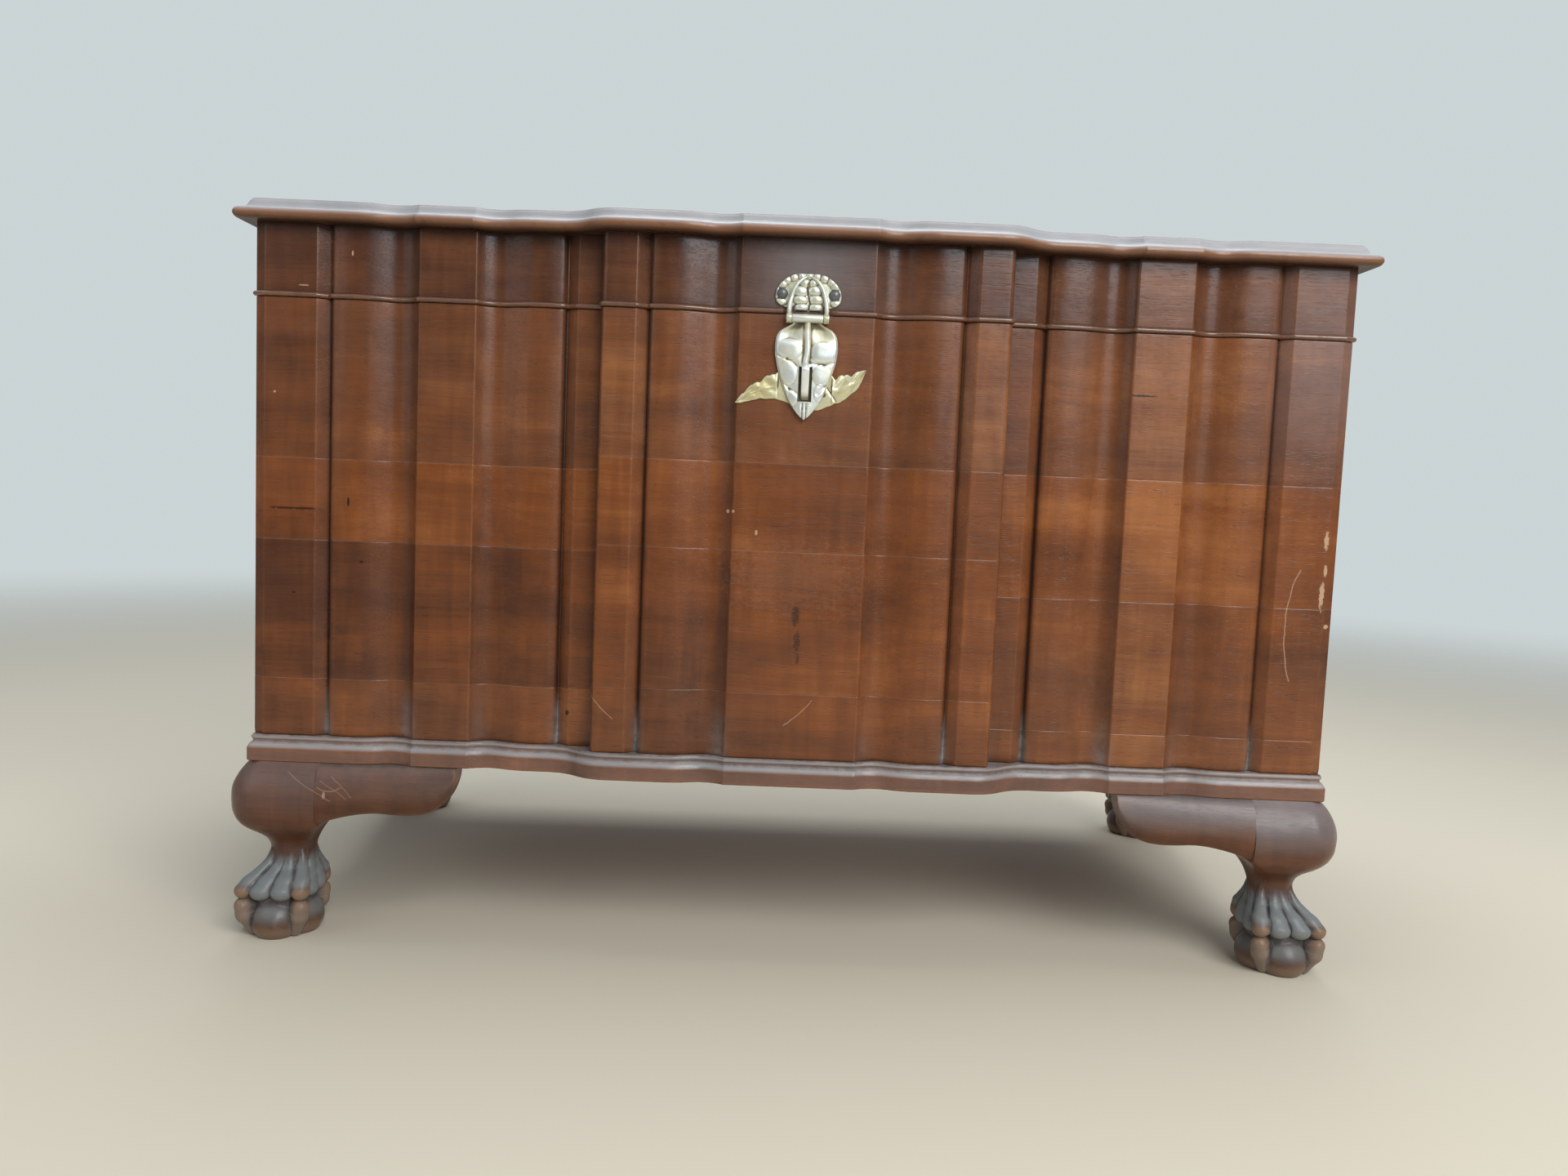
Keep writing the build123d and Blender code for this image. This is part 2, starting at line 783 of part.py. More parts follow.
def drawn(points):
    return make_face(Polyline(*[(x, 0, z) for x, z in points], close=True))


def plate_screw_points():
    z = case_top + plate_screw_height
    return [(way * plate_screw_spread / 2, hasp_face - plate_thickness, z) for way in (-1, 1)]


def plate_screw_holes():
    grow = screw_shank + screw_clearance
    return [rod(grow, (x, hasp_face, z), screw_length + 0.1, (0, 1, 0))
            for x, y, z in plate_screw_points()]


def make_lid_plate():
    low = case_top + plate_low
    high = case_top + plate_high
    crown = plate_width / 2 - lobe_overlap
    eaves = high - plate_chamfer_z
    ridge = crown - plate_chamfer_x
    face = drawn([(-crown, low), (crown, low), (crown, eaves), (ridge, high), (-ridge, high),
                  (-crown, eaves)])
    plate = upright(face, hasp_face, plate_thickness)
    for x, y, z in plate_screw_points():
        edge = (plate_width / 2 - lobe_radius) * (1 if x > 0 else -1)
        plate += rod(lobe_radius, (edge, hasp_face, z), plate_thickness, (0, -1, 0))
    for way in (-1, 1):
        inner = way * lug_spread / 2
        outer = inner + way * lug_width
        x0, x1 = sorted((inner, outer))
        plate += block(x0, x1, pin_y, hasp_face, low, low + lug_width)
        plate += block(x0, x1, pin_y, pin_y + lug_radius, pin_z, low + lug_width)
        plate += rod(lug_radius, (x0, pin_y, pin_z), lug_width, (1, 0, 0))
    plate -= rod(hasp_pin + running_gap, (-lug_spread, pin_y, pin_z), lug_spread * 2, (1, 0, 0))
    for x, y, z in plate_screw_points():
        plate -= rod(screw_shank + screw_clearance, (x, y - 1, z), plate_thickness + 2, (0, 1, 0))
    keep("hasp_lid_plate", plate)

    screws = []
    for x, y, z in plate_screw_points():
        dome = (dome_radius ** 2 + dome_height ** 2) / (2 * dome_height)
        cap = Pos(x, y + dome - dome_height, z) * Sphere(dome)
        cap &= block(x - dome, x + dome, y - 2 * dome_height, y, z - dome, z + dome)
        screws.append(cap + rod(screw_shank, (x, y, z), plate_thickness + screw_length, (0, 1, 0)))
    keep("lid_plate_screws", Compound(screws))
    reach = lug_spread / 2 + lug_width + hasp_overrun
    keep("hasp_pin", rod(hasp_pin, (-reach, pin_y, pin_z), reach * 2, (1, 0, 0)))


def make_flap():
    half = flap_width / 2
    neck = lug_spread / 2 - side_gap
    shoulder = pin_z - flap_shoulder
    tip = pin_z - flap_length
    waist = pin_z - slot_bottom

    def at(x, z):
        return (x, 0, z)

    right = [
        Line(at(0, pin_z), at(neck, pin_z)),
        Line(at(neck, pin_z), at(neck, pin_z - flap_neck)),
        ThreePointArc(at(neck, pin_z - flap_neck), at(half * 0.9, pin_z - flap_shoulder * 0.6),
                      at(half, shoulder)),
        ThreePointArc(at(half, shoulder), at(half * 0.78, (shoulder + waist) / 2),
                      at(flap_waist, waist)),
        ThreePointArc(at(flap_waist, waist), at(flap_waist * 0.4, (tip * 7 + waist * 3) / 10),
                      at(0, tip)),
    ]
    outline = right + mirrored(right)
    plate = upright(make_face(outline), flap_back, flap_thickness)
    plate += rod(hasp_barrel, (-neck, pin_y, pin_z), neck * 2, (1, 0, 0))
    plate -= rod(hasp_pin + running_gap, (-neck - 1, pin_y, pin_z), neck * 2 + 2, (1, 0, 0))
    plate -= block(-slot_width / 2, slot_width / 2, flap_front - 5, flap_back + 1,
                   pin_z - slot_bottom, pin_z - slot_top)
    keep("hasp_flap", plate)


def catch_screw_points():
    return [(-catch_screw_left, catch_face, pin_z - catch_screw_left_drop),
            (catch_screw_right, catch_face, pin_z - catch_screw_right_drop)]


def catch_screw(point, grow):
    x, y, z = point
    head = Plane(origin=point, z_dir=(0, 1, 0)) * (
        Pos(0, 0, screw_sink / 2) * Cone(catch_screw_head + grow, screw_shank + grow, screw_sink))
    return head + rod(screw_shank + grow, point, screw_length + grow, (0, 1, 0))


def catch_holes():
    holes = catch_screw(catch_screw_points()[0], screw_clearance)
    holes += catch_screw(catch_screw_points()[1], screw_clearance)
    low = eye_z - staple_root / 2
    return holes + block(-staple_width / 2, staple_width / 2, hasp_face, hasp_face + staple_root,
                         low, low + staple_root)


def make_catch():
    mid = pin_z - (slot_top + slot_bottom) / 2
    shares = [(-1, -0.75), (-0.8, -0.12), (-0.5, 0.3), (-0.25, 0.65), (0, 1), (0.28, 0.83),
              (0.6, 0.87), (0.8, 0.8), (1, 0.87), (0.9, 0.33), (0.72, -0.05), (0.42, -0.5),
              (0.2, -0.9), (0, -1), (-0.2, -0.75), (-0.5, -0.85), (-0.75, -0.95)]
    leaves = []
    for across, up in shares:
        wing = catch_right if across > 0 else catch_left
        lift = catch_rise if up > 0 else catch_fall
        leaves.append((across * wing, mid + up * lift))
    plate = upright(drawn(leaves), hasp_face, catch_thickness)
    for point in catch_screw_points():
        plate -= catch_screw(point, screw_clearance)
    low = eye_z - staple_root / 2
    plate -= block(-staple_width / 2, staple_width / 2, catch_face - 1, hasp_face + 1,
                   low, low + staple_root)
    keep("catch_plate", plate)
    keep("catch_plate_screws", Compound([catch_screw(p, 0) for p in catch_screw_points()]))

    crest = eye_y - eye_radius - staple_wall
    top = eye_z + eye_radius + staple_wall
    foot = pin_z - slot_bottom + staple_tail

    def at(y, z):
        return (0, y, z)

    side = make_face([
        Line(at(catch_face, foot), at(flap_back, foot)),
        Line(at(flap_back, foot), at(crest, top - staple_wall)),
        ThreePointArc(at(crest, top - staple_wall), at(crest + 0.8, top - 0.6),
                      at(crest + staple_wall, top)),
        Line(at(crest + staple_wall, top), at(catch_face, top)),
        Line(at(catch_face, top), at(catch_face, foot)),
    ])
    fin = Pos(-staple_width / 2, 0, 0) * extrude(side, amount=staple_width, dir=(1, 0, 0))
    fin -= rod(eye_radius, (-staple_width, eye_y, eye_z), staple_width * 2, (1, 0, 0))
    fin += block(-staple_width / 2, staple_width / 2, catch_face, hasp_face + staple_root,
                 low, low + staple_root)
    keep("hasp_staple", fin)


make_front()
make_case()
make_base()
make_legs()
make_lid()
make_hinges()
make_lid_plate()
make_flap()
make_catch()

for name, solid in made.items():
    export_step(Pos(0, -y_middle, 0) * solid, f"parts/{name}.step")
print(len(made), "nodes, origin at Y", y_middle)
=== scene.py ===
import math
import random

import bmesh
import bpy
import numpy as np
from mathutils import Matrix, Vector, noise


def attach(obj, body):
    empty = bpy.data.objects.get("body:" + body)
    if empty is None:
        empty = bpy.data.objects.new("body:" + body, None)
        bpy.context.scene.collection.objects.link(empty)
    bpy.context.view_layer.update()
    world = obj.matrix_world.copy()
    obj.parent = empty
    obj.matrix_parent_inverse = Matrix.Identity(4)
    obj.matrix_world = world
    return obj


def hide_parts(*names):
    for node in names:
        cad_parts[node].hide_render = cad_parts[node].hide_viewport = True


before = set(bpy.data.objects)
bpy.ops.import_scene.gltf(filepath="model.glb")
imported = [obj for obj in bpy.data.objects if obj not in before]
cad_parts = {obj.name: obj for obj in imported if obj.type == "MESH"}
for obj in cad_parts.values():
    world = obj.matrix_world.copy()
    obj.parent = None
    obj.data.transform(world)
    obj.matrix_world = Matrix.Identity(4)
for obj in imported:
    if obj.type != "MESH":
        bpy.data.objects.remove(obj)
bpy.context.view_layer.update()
print("frame loaded")

mm = 0.001
chest = {  # levels and lines in mm; y counts back from the face of the end bands
    "faceY": -251.5,
    "halfWidth": 535.0,
    "depth": 520.0,
    "baseBottom": 180.0,
    "caseBottom": 206.0,
    "caseTop": 636.0,
    "skirtBottom": 641.5,
    "skirtTop": 707.0,
    "lidTop": 728.0,
    "wallBack": 26.0,
    "sideWall": 22.0,
}


# small helpers
def smoothStep(value, low, high):
    t = np.clip((np.asarray(value, float) - low) / (high - low), 0, 1)
    return t * t * (3 - 2 * t)


def bump(value, centre, width):
    return np.exp(-((np.asarray(value, float) - centre) / width) ** 2)


def curveThrough(value, knots):  # smooth line through (place, height) knots
    kx, ky = np.array(knots, float).T
    slope = np.gradient(ky, kx)
    value = np.clip(value, kx[0], kx[-1])
    i = np.clip(np.searchsorted(kx, value) - 1, 0, len(kx) - 2)
    h = kx[i + 1] - kx[i]
    t = (value - kx[i]) / h
    return (
        (1 + 2 * t) * (1 - t) ** 2 * ky[i]
        + t * (1 - t) ** 2 * h * slope[i]
        + t * t * (3 - 2 * t) * ky[i + 1]
        + t * t * (t - 1) * h * slope[i + 1]
    )


def softMax(a, b, reach):
    h = np.clip(0.5 + 0.5 * (a - b) / reach, 0, 1)
    return b * (1 - h) + a * h + reach * h * (1 - h)


def softMin(a, b, reach):
    return -softMax(-a, -b, reach)


def ripple(x, y, z, wave):  # slow unevenness of hand-planed wood, from -1 to 1
    return noise.noise(Vector((x / wave, y / wave, z / wave)))


def rippleGrid(points, wave, seed=0.0):
    flat = points.reshape(-1, 3)
    values = [ripple(x + seed, y, z, wave) for x, y, z in flat]
    return np.array(values).reshape(points.shape[:-1])


def gridMesh(points, marks=None):  # a grid whose vertices move to an array of places in mm
    across, up = points.shape[0] - 1, points.shape[1] - 1
    bm = bmesh.new()
    bmesh.ops.create_grid(bm, x_segments=across, y_segments=up, size=1)
    layers = {key: bm.verts.layers.float.new(key) for key in (marks or {})}
    places = (points + np.array([0, chest["faceY"], 0])) * mm
    for v in bm.verts:
        i = round((v.co.x + 1) / 2 * across)
        j = round((v.co.y + 1) / 2 * up)
        v.co = places[i, j]
        for key, layer in layers.items():
            v[layer] = float(marks[key][i, j])
    return bm


def carried(profileX, places, profileZ):  # a profile in X and Z carried to places along Y
    shape = (len(places), len(profileX))
    columns = (profileX, places[:, None], profileZ)
    return np.stack([np.broadcast_to(column, shape) for column in columns], axis=-1)


def swept(path, rows):  # rows of (out, z, ...) set out from a path of places and outward directions
    columns = []
    for out, z in (row[:2] for row in rows):
        places = (path[:, 0] + path[:, 2] * out, path[:, 1] + path[:, 3] * out, 0 * path[:, 0] + z)
        columns.append(np.stack(places, axis=-1))
    return np.stack(columns, axis=1)


def backed(bm, backY):  # gives a front sheet its edges and a flat back
    made = bmesh.ops.extrude_face_region(bm, geom=bm.faces[:])
    for v in made["geom"]:
        if isinstance(v, bmesh.types.BMVert):
            v.co.y = (backY + chest["faceY"]) * mm
    return bm


def makePiece(name, bm, body, material, nodes=(), sharp=38):
    bmesh.ops.remove_doubles(bm, verts=bm.verts, dist=2e-6)
    bmesh.ops.holes_fill(bm, edges=[e for e in bm.edges if e.is_boundary])
    bmesh.ops.recalc_face_normals(bm, faces=bm.faces)
    mesh = bpy.data.meshes.new(name)
    bm.to_mesh(mesh)
    bm.free()
    mesh.shade_smooth()
    mesh.set_sharp_from_angle(angle=math.radians(sharp))
    mesh.materials.append(material)
    piece = bpy.data.objects.new(name, mesh)
    bpy.context.scene.collection.objects.link(piece)
    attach(piece, body)
    if nodes:
        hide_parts(*nodes)
    return piece


# shader helpers
def add(tree, kind, inputs=None, **settings):
    made = tree.nodes.new(kind)
    for key, value in settings.items():
        setattr(made, key, value)
    for key, value in (inputs or {}).items():
        socket = made.inputs[key]
        if isinstance(value, bpy.types.NodeSocket):
            tree.links.new(value, socket)
        else:
            socket.default_value = value
    return made


def maths(tree, operation, a, b=0.5, clamp=False):
    return add(tree, "ShaderNodeMath", {0: a, 1: b}, operation=operation, use_clamp=clamp).outputs[0]


def rangeMap(tree, value, low, high, toLow=0.0, toHigh=1.0, smooth=True):
    kind = "SMOOTHSTEP" if smooth else "LINEAR"
    made = add(
        tree, "ShaderNodeMapRange", {0: value, 1: low, 2: high, 3: toLow, 4: toHigh}, interpolation_type=kind
    )
    return made.outputs[0]


def blendColour(tree, factor, a, b, mode="MIX"):
    made = add(tree, "ShaderNodeMix", {0: factor, 6: a, 7: b}, data_type="RGBA", blend_type=mode)
    return made.outputs[2]


def attribute(tree, name):
    return add(tree, "ShaderNodeAttribute", attribute_name=name).outputs["Fac"]


def stretched(tree, vector, scale, location=(0, 0, 0), rotation=(0, 0, 0)):
    made = add(
        tree, "ShaderNodeMapping",
        {"Vector": vector, "Scale": scale, "Location": location, "Rotation": rotation},
    )
    return made.outputs[0]


def noiseValue(tree, vector, scale, detail=2.0, roughness=0.5, distortion=0.0):
    inputs = {
        "Vector": vector, "Scale": scale, "Detail": detail, "Roughness": roughness, "Distortion": distortion
    }
    return add(tree, "ShaderNodeTexNoise", inputs).outputs[0]


def ramp(tree, value, stops):
    made = add(tree, "ShaderNodeValToRGB", {0: value})
    band = made.color_ramp
    while len(band.elements) < len(stops):
        band.elements.new(0.5)
    for element, (place, colour) in zip(band.elements, stops):
        element.position = place
        element.color = (*colour, 1)
    return made.outputs[0]


def newGroup(name, inputs, outputs):
    group = bpy.data.node_groups.new(name, "ShaderNodeTree")
    for label, kind, value in inputs:
        socket = group.interface.new_socket(label, in_out="INPUT", socket_type="NodeSocket" + kind)
        socket.default_value = value
    for label, kind in outputs:
        group.interface.new_socket(label, in_out="OUTPUT", socket_type="NodeSocket" + kind)
    return group, group.nodes.new("NodeGroupInput"), group.nodes.new("NodeGroupOutput")


# shared effects
def makeWoodFigure():  # grain along X: long streaks, fine fibres, short pores, a cross ripple
    group, start, end = newGroup(
        "woodFigure", [("Vector", "Vector", (0, 0, 0)), ("Lot", "Float", 0.0)],
        [
            ("Streak", "Float"), ("Fibre", "Float"), ("Pore", "Float"), ("Ripple", "Float"),
            ("Height", "Float"),
        ],
    )
    lot = add(group, "ShaderNodeCombineXYZ", {0: start.outputs["Lot"], 1: start.outputs["Lot"]})
    moved = add(
        group, "ShaderNodeVectorMath", {0: start.outputs["Vector"], 1: lot.outputs[0]}, operation="ADD"
    ).outputs[0]
    bend = noiseValue(group, stretched(group, moved, (2.2, 6, 6)), 1.0, 2.0)
    bent = add(group, "ShaderNodeCombineXYZ", {2: maths(group, "MULTIPLY", bend, 0.035)})
    wavy = add(group, "ShaderNodeVectorMath", {0: moved, 1: bent.outputs[0]}, operation="ADD").outputs[0]
    streak = noiseValue(group, stretched(group, wavy, (2.0, 34, 34)), 1.0, 5.0, 0.58, 0.3)
    fibre = noiseValue(group, stretched(group, wavy, (9, 330, 330)), 1.0, 3.0, 0.6)
    poreNoise = noiseValue(group, stretched(group, wavy, (60, 1150, 1150)), 1.0, 1.0, 0.5)
    pore = rangeMap(group, poreNoise, 0.60, 0.72)
    cross = noiseValue(group, stretched(group, moved, (70, 7, 9)), 1.0, 2.0, 0.5, 0.8)
    height = maths(
        group, "SUBTRACT", maths(group, "MULTIPLY", fibre, 0.6), maths(group, "MULTIPLY", pore, 0.7)
    )
    for label, value in (
        ("Streak", streak), ("Fibre", fibre), ("Pore", pore), ("Ripple", cross), ("Height", height)
    ):
        group.links.new(value, end.inputs[label])
    return group


def makeBrokenMask():  # breaks an even mask into the patches of real wear
    group, start, end = newGroup(
        "brokenMask",
        [
            ("Vector", "Vector", (0, 0, 0)), ("Mask", "Float", 0.0), ("Scale", "Float", 60.0),
            ("Patchy", "Float", 0.5),
        ],
        [("Mask", "Float")],
    )
    spots = noiseValue(group, start.outputs["Vector"], start.outputs["Scale"], 4.0, 0.65)
    low = maths(group, "SUBTRACT", 0.52, maths(group, "MULTIPLY", start.outputs["Mask"], 0.35))
    level = maths(group, "SUBTRACT", spots, low)
    patches = rangeMap(group, level, -0.02, 0.12)
    mixed = add(group, "ShaderNodeMix", {0: start.outputs["Patchy"], 2: 1.0, 3: patches}).outputs[0]
    group.links.new(maths(group, "MULTIPLY", mixed, start.outputs["Mask"], clamp=True), end.inputs["Mask"])
    return group


def makeDustAndTopSheen():  # pale dust in recesses and, as dust and painted sheen, on what faces up, thinner higher on the chest
    group, start, end = newGroup(
        "dustAndTopSheen",
        [
            ("Vector", "Vector", (0, 0, 0)), ("Recess", "Float", 0.0), ("Low", "Float", 0.2),
            ("High", "Float", 0.4), ("Flat", "Float", 0.5),
        ],
        [("Mask", "Float")],
    )
    place = add(group, "ShaderNodeSeparateXYZ", {0: start.outputs["Vector"]})
    low = add(
        group, "ShaderNodeMapRange", {0: place.outputs[2], 1: start.outputs["High"], 2: start.outputs["Low"]}
    ).outputs[0]
    normal = add(group, "ShaderNodeNewGeometry").outputs["Normal"]
    facing = add(group, "ShaderNodeSeparateXYZ", {0: normal}).outputs[2]
    lying = maths(group, "MULTIPLY", rangeMap(group, facing, 0.35, 0.95), start.outputs["Flat"])
    caught = maths(group, "MULTIPLY", start.outputs["Recess"], low)
    grain = noiseValue(group, start.outputs["Vector"], 90.0, 5.0, 0.7)
    both = maths(group, "ADD", caught, lying, clamp=True)
    broken = maths(group, "MULTIPLY", both, rangeMap(group, grain, 0.35, 0.65, 0.45, 1.0))
    group.links.new(broken, end.inputs["Mask"])
    return group


def makeArcScratch():  # a thin scratch along part of a circle on the front
    group, start, end = newGroup(
        "arcScratch",
        [
            ("Vector", "Vector", (0, 0, 0)), ("Centre", "Vector", (0, 0, 0)), ("Radius", "Float", 0.1),
            ("Width", "Float", 0.0006), ("Low", "Float", 0.2), ("High", "Float", 0.3),
        ],
        [("Mask", "Float")],
    )
    shift = add(
        group, "ShaderNodeVectorMath", {0: start.outputs["Vector"], 1: start.outputs["Centre"]},
        operation="SUBTRACT",
    )
    flat = add(group, "ShaderNodeVectorMath", {0: shift.outputs[0], 1: (1, 0, 1)}, operation="MULTIPLY")
    reach = add(group, "ShaderNodeVectorMath", {0: flat.outputs[0]}, operation="LENGTH").outputs["Value"]
    wander = noiseValue(group, start.outputs["Vector"], 35.0, 3.0)
    wander = maths(group, "MULTIPLY", maths(group, "SUBTRACT", wander, 0.5), 0.006)
    off = maths(group, "ADD", maths(group, "SUBTRACT", reach, start.outputs["Radius"]), wander)
    off = maths(group, "ABSOLUTE", off)
    line = maths(group, "SUBTRACT", 1.0, maths(group, "DIVIDE", off, start.outputs["Width"]), clamp=True)
    z = add(group, "ShaderNodeSeparateXYZ", {0: start.outputs["Vector"]}).outputs[2]
    above = maths(group, "GREATER_THAN", z, start.outputs["Low"])
    below = maths(group, "LESS_THAN", z, start.outputs["High"])
    part = maths(group, "MULTIPLY", above, below)
    group.links.new(maths(group, "MULTIPLY", line, part), end.inputs["Mask"])
    return group


def makeSpotMark():  # one ragged spot, chip or knot
    group, start, end = newGroup(
        "spotMark",
        [
            ("Vector", "Vector", (0, 0, 0)), ("Centre", "Vector", (0, 0, 0)),
            ("Size", "Vector", (0.002, 0.01, 0.002)), ("Ragged", "Float", 0.5),
        ],
        [("Mask", "Float")],
    )
    shift = add(
        group, "ShaderNodeVectorMath", {0: start.outputs["Vector"], 1: start.outputs["Centre"]},
        operation="SUBTRACT",
    )
    scaled = add(
        group, "ShaderNodeVectorMath", {0: shift.outputs[0], 1: start.outputs["Size"]}, operation="DIVIDE"
    )
    reach = add(group, "ShaderNodeVectorMath", {0: scaled.outputs[0]}, operation="LENGTH").outputs["Value"]
    rough = noiseValue(group, start.outputs["Vector"], 260.0, 4.0, 0.7)
    rough = maths(group, "MULTIPLY", maths(group, "SUBTRACT", rough, 0.5), start.outputs["Ragged"])
    edge = maths(group, "ADD", reach, maths(group, "MULTIPLY", rough, 3.0))
    group.links.new(rangeMap(group, edge, 1.15, 0.7), end.inputs["Mask"])
    return group


woodFigure = makeWoodFigure()
brokenMask = makeBrokenMask()
dustAndTopSheen = makeDustAndTopSheen()
arcScratch = makeArcScratch()
spotMark = makeSpotMark()

warmRamp = [
    (0.0, (0.040, 0.013, 0.007)), (0.33, (0.098, 0.031, 0.012)), (0.62, (0.200, 0.062, 0.018)),
    (1.0, (0.400, 0.150, 0.045)),
]
brownRamp = [
    (0.0, (0.031, 0.0125, 0.0075)), (0.33, (0.080, 0.030, 0.0150)), (0.62, (0.152, 0.062, 0.0290)),
    (1.0, (0.270, 0.136, 0.070)),
]
woodTones = {
    "pore": (0.018, 0.008, 0.006, 1), "seam": (0.34, 0.20, 0.125, 1), "dirtAndShade": (0.016, 0.009, 0.008, 1),
    "dustAndSheen": (0.42, 0.43, 0.43, 1),
}


# materials
def makeWood(name, look, marks=None):
    material = bpy.data.materials.new(name)
    material.use_nodes = True
    tree = material.node_tree
    shader = tree.nodes["Principled BSDF"]
    place = add(tree, "ShaderNodeTexCoord").outputs["Object"]
    along = stretched(tree, place, (1, 1, 1), rotation=look["turn"])
    figure = add(
        tree, "ShaderNodeGroup", {"Vector": along, "Lot": attribute(tree, "lot")}, node_tree=woodFigure
    )
    edge, recess, seam = (attribute(tree, key) for key in ("edge", "recess", "seam"))
    tone = maths(tree, "MULTIPLY_ADD", attribute(tree, "tone"), look["toneReach"])
    tone.node.inputs[2].default_value = look["tone"]
    value = tone
    for label, share in (("Streak", look["streak"]), ("Fibre", look["fibre"]), ("Ripple", look["ripple"])):
        spread = maths(tree, "MULTIPLY", maths(tree, "SUBTRACT", figure.outputs[label], 0.5), share)
        value = maths(tree, "ADD", value, spread)
    patches = noiseValue(tree, stretched(tree, along, (5, 11, 11)), 1.0, 3.0, 0.6, 0.6)
    cloudy = maths(tree, "SUBTRACT", patches, 0.5)
    value = maths(tree, "ADD", value, maths(tree, "MULTIPLY", cloudy, look["patch"]))
    warmth = maths(tree, "ADD", attribute(tree, "warm"), maths(tree, "MULTIPLY", cloudy, 1.5))
    warmth = maths(tree, "ADD", warmth, look["warm"], clamp=True)
    colour = blendColour(tree, warmth, ramp(tree, value, brownRamp), ramp(tree, value, warmRamp))
    pores = maths(tree, "MULTIPLY", figure.outputs["Pore"], look["pore"])
    colour = blendColour(tree, pores, colour, woodTones["pore"])
    inputs = {"Vector": place, "Mask": edge, "Scale": look["wearScale"], "Patchy": look["patchy"]}
    worn = add(tree, "ShaderNodeGroup", inputs, node_tree=brokenMask).outputs[0]
    colour = blendColour(tree, maths(tree, "MULTIPLY", worn, look["wear"]), colour, look["wearColour"])
    colour = blendColour(tree, maths(tree, "MULTIPLY", seam, look["seam"]), colour, woodTones["seam"])
    # painted sheen: a pale blue-grey colour laid where reflections and highlights fall
    paintedSheen = maths(tree, "MULTIPLY", attribute(tree, "paintedSheen"), rangeMap(tree, patches, 0.2, 0.75, 0.75, 1.0))
    colour = blendColour(tree, maths(tree, "MULTIPLY", paintedSheen, look["paintedSheen"]), colour, look["paintedSheenColour"])
    # darkens recesses: real dirt together with painted shade
    dirtAndShade = maths(tree, "MULTIPLY", recess, look["dirtAndShade"], clamp=True)
    colour = blendColour(tree, dirtAndShade, colour, woodTones["dirtAndShade"])
    if "bare" in look:
        inputs = {"Vector": place, "Mask": attribute(tree, "bare"), "Scale": 70.0, "Patchy": 0.55}
        bare = add(tree, "ShaderNodeGroup", inputs, node_tree=brokenMask).outputs[0]
        colour = blendColour(tree, maths(tree, "MULTIPLY", bare, look["bare"]), colour, look["bareColour"])
        # blue-grey tint: worn dark finish and painted sheen
        silverAndSheen = attribute(tree, "silverAndSheen")
        silverAndSheen = maths(tree, "MULTIPLY", silverAndSheen, look["silverAndSheen"])
        colour = blendColour(tree, silverAndSheen, colour, look["silverAndSheenColour"])
    # pale dust in recesses; on upward faces dust and painted sheen
    inputs = {"Vector": place, "Recess": recess, "Low": look["dustLow"], "High": look["dustHigh"]}
    dustAndSheen = add(tree, "ShaderNodeGroup", {**inputs, "Flat": look["dustAndSheenOnTop"]}, node_tree=dustAndTopSheen).outputs[0]
    dustAndSheenAmount = maths(tree, "MULTIPLY", dustAndSheen, look["dustAndSheen"])
    colour = blendColour(tree, dustAndSheenAmount, colour, woodTones["dustAndSheen"])
    for centre, radius, width, low, high, amount, paint in (marks or {}).get("scratches", []):
        inputs = {
            "Vector": place, "Centre": centre, "Radius": radius, "Width": width, "Low": low, "High": high
        }
        mask = add(tree, "ShaderNodeGroup", inputs, node_tree=arcScratch).outputs[0]
        colour = blendColour(tree, maths(tree, "MULTIPLY", mask, amount), colour, paint)
    for centre, size, ragged, amount, paint in (marks or {}).get("spots", []):
        inputs = {"Vector": place, "Centre": centre, "Size": size, "Ragged": ragged}
        mask = add(tree, "ShaderNodeGroup", inputs, node_tree=spotMark).outputs[0]
        colour = blendColour(tree, maths(tree, "MULTIPLY", mask, amount), colour, paint)
    tree.links.new(colour, shader.inputs["Base Color"])
    smears = noiseValue(tree, stretched(tree, place, (9, 9, 14)), 1.0, 4.0, 0.65)
    gloss = rangeMap(tree, smears, 0.3, 0.7, look["smooth"], look["rough"])
    gloss = maths(tree, "ADD", gloss, maths(tree, "MULTIPLY", dustAndSheenAmount, 0.35))
    gloss = maths(tree, "ADD", gloss, maths(tree, "MULTIPLY", worn, 0.10), clamp=True)
    tree.links.new(gloss, shader.inputs["Roughness"])
    slow = noiseValue(tree, place, 22.0, 3.0, 0.5)
    grain = maths(tree, "MULTIPLY", figure.outputs["Height"], look["grainRelief"])
    height = maths(tree, "ADD", grain, maths(tree, "MULTIPLY", slow, look["unevenness"]))
    bumped = add(tree, "ShaderNodeBump", {"Height": height, "Strength": 1.0, "Distance": 0.0004})
    tree.links.new(bumped.outputs[0], shader.inputs["Normal"])
    shader.inputs["Specular IOR Level"].default_value = look["shine"]
    shader.inputs["Coat Weight"].default_value = look["coat"]
    shader.inputs["Coat Roughness"].default_value = look["coatRoughness"]
    return material


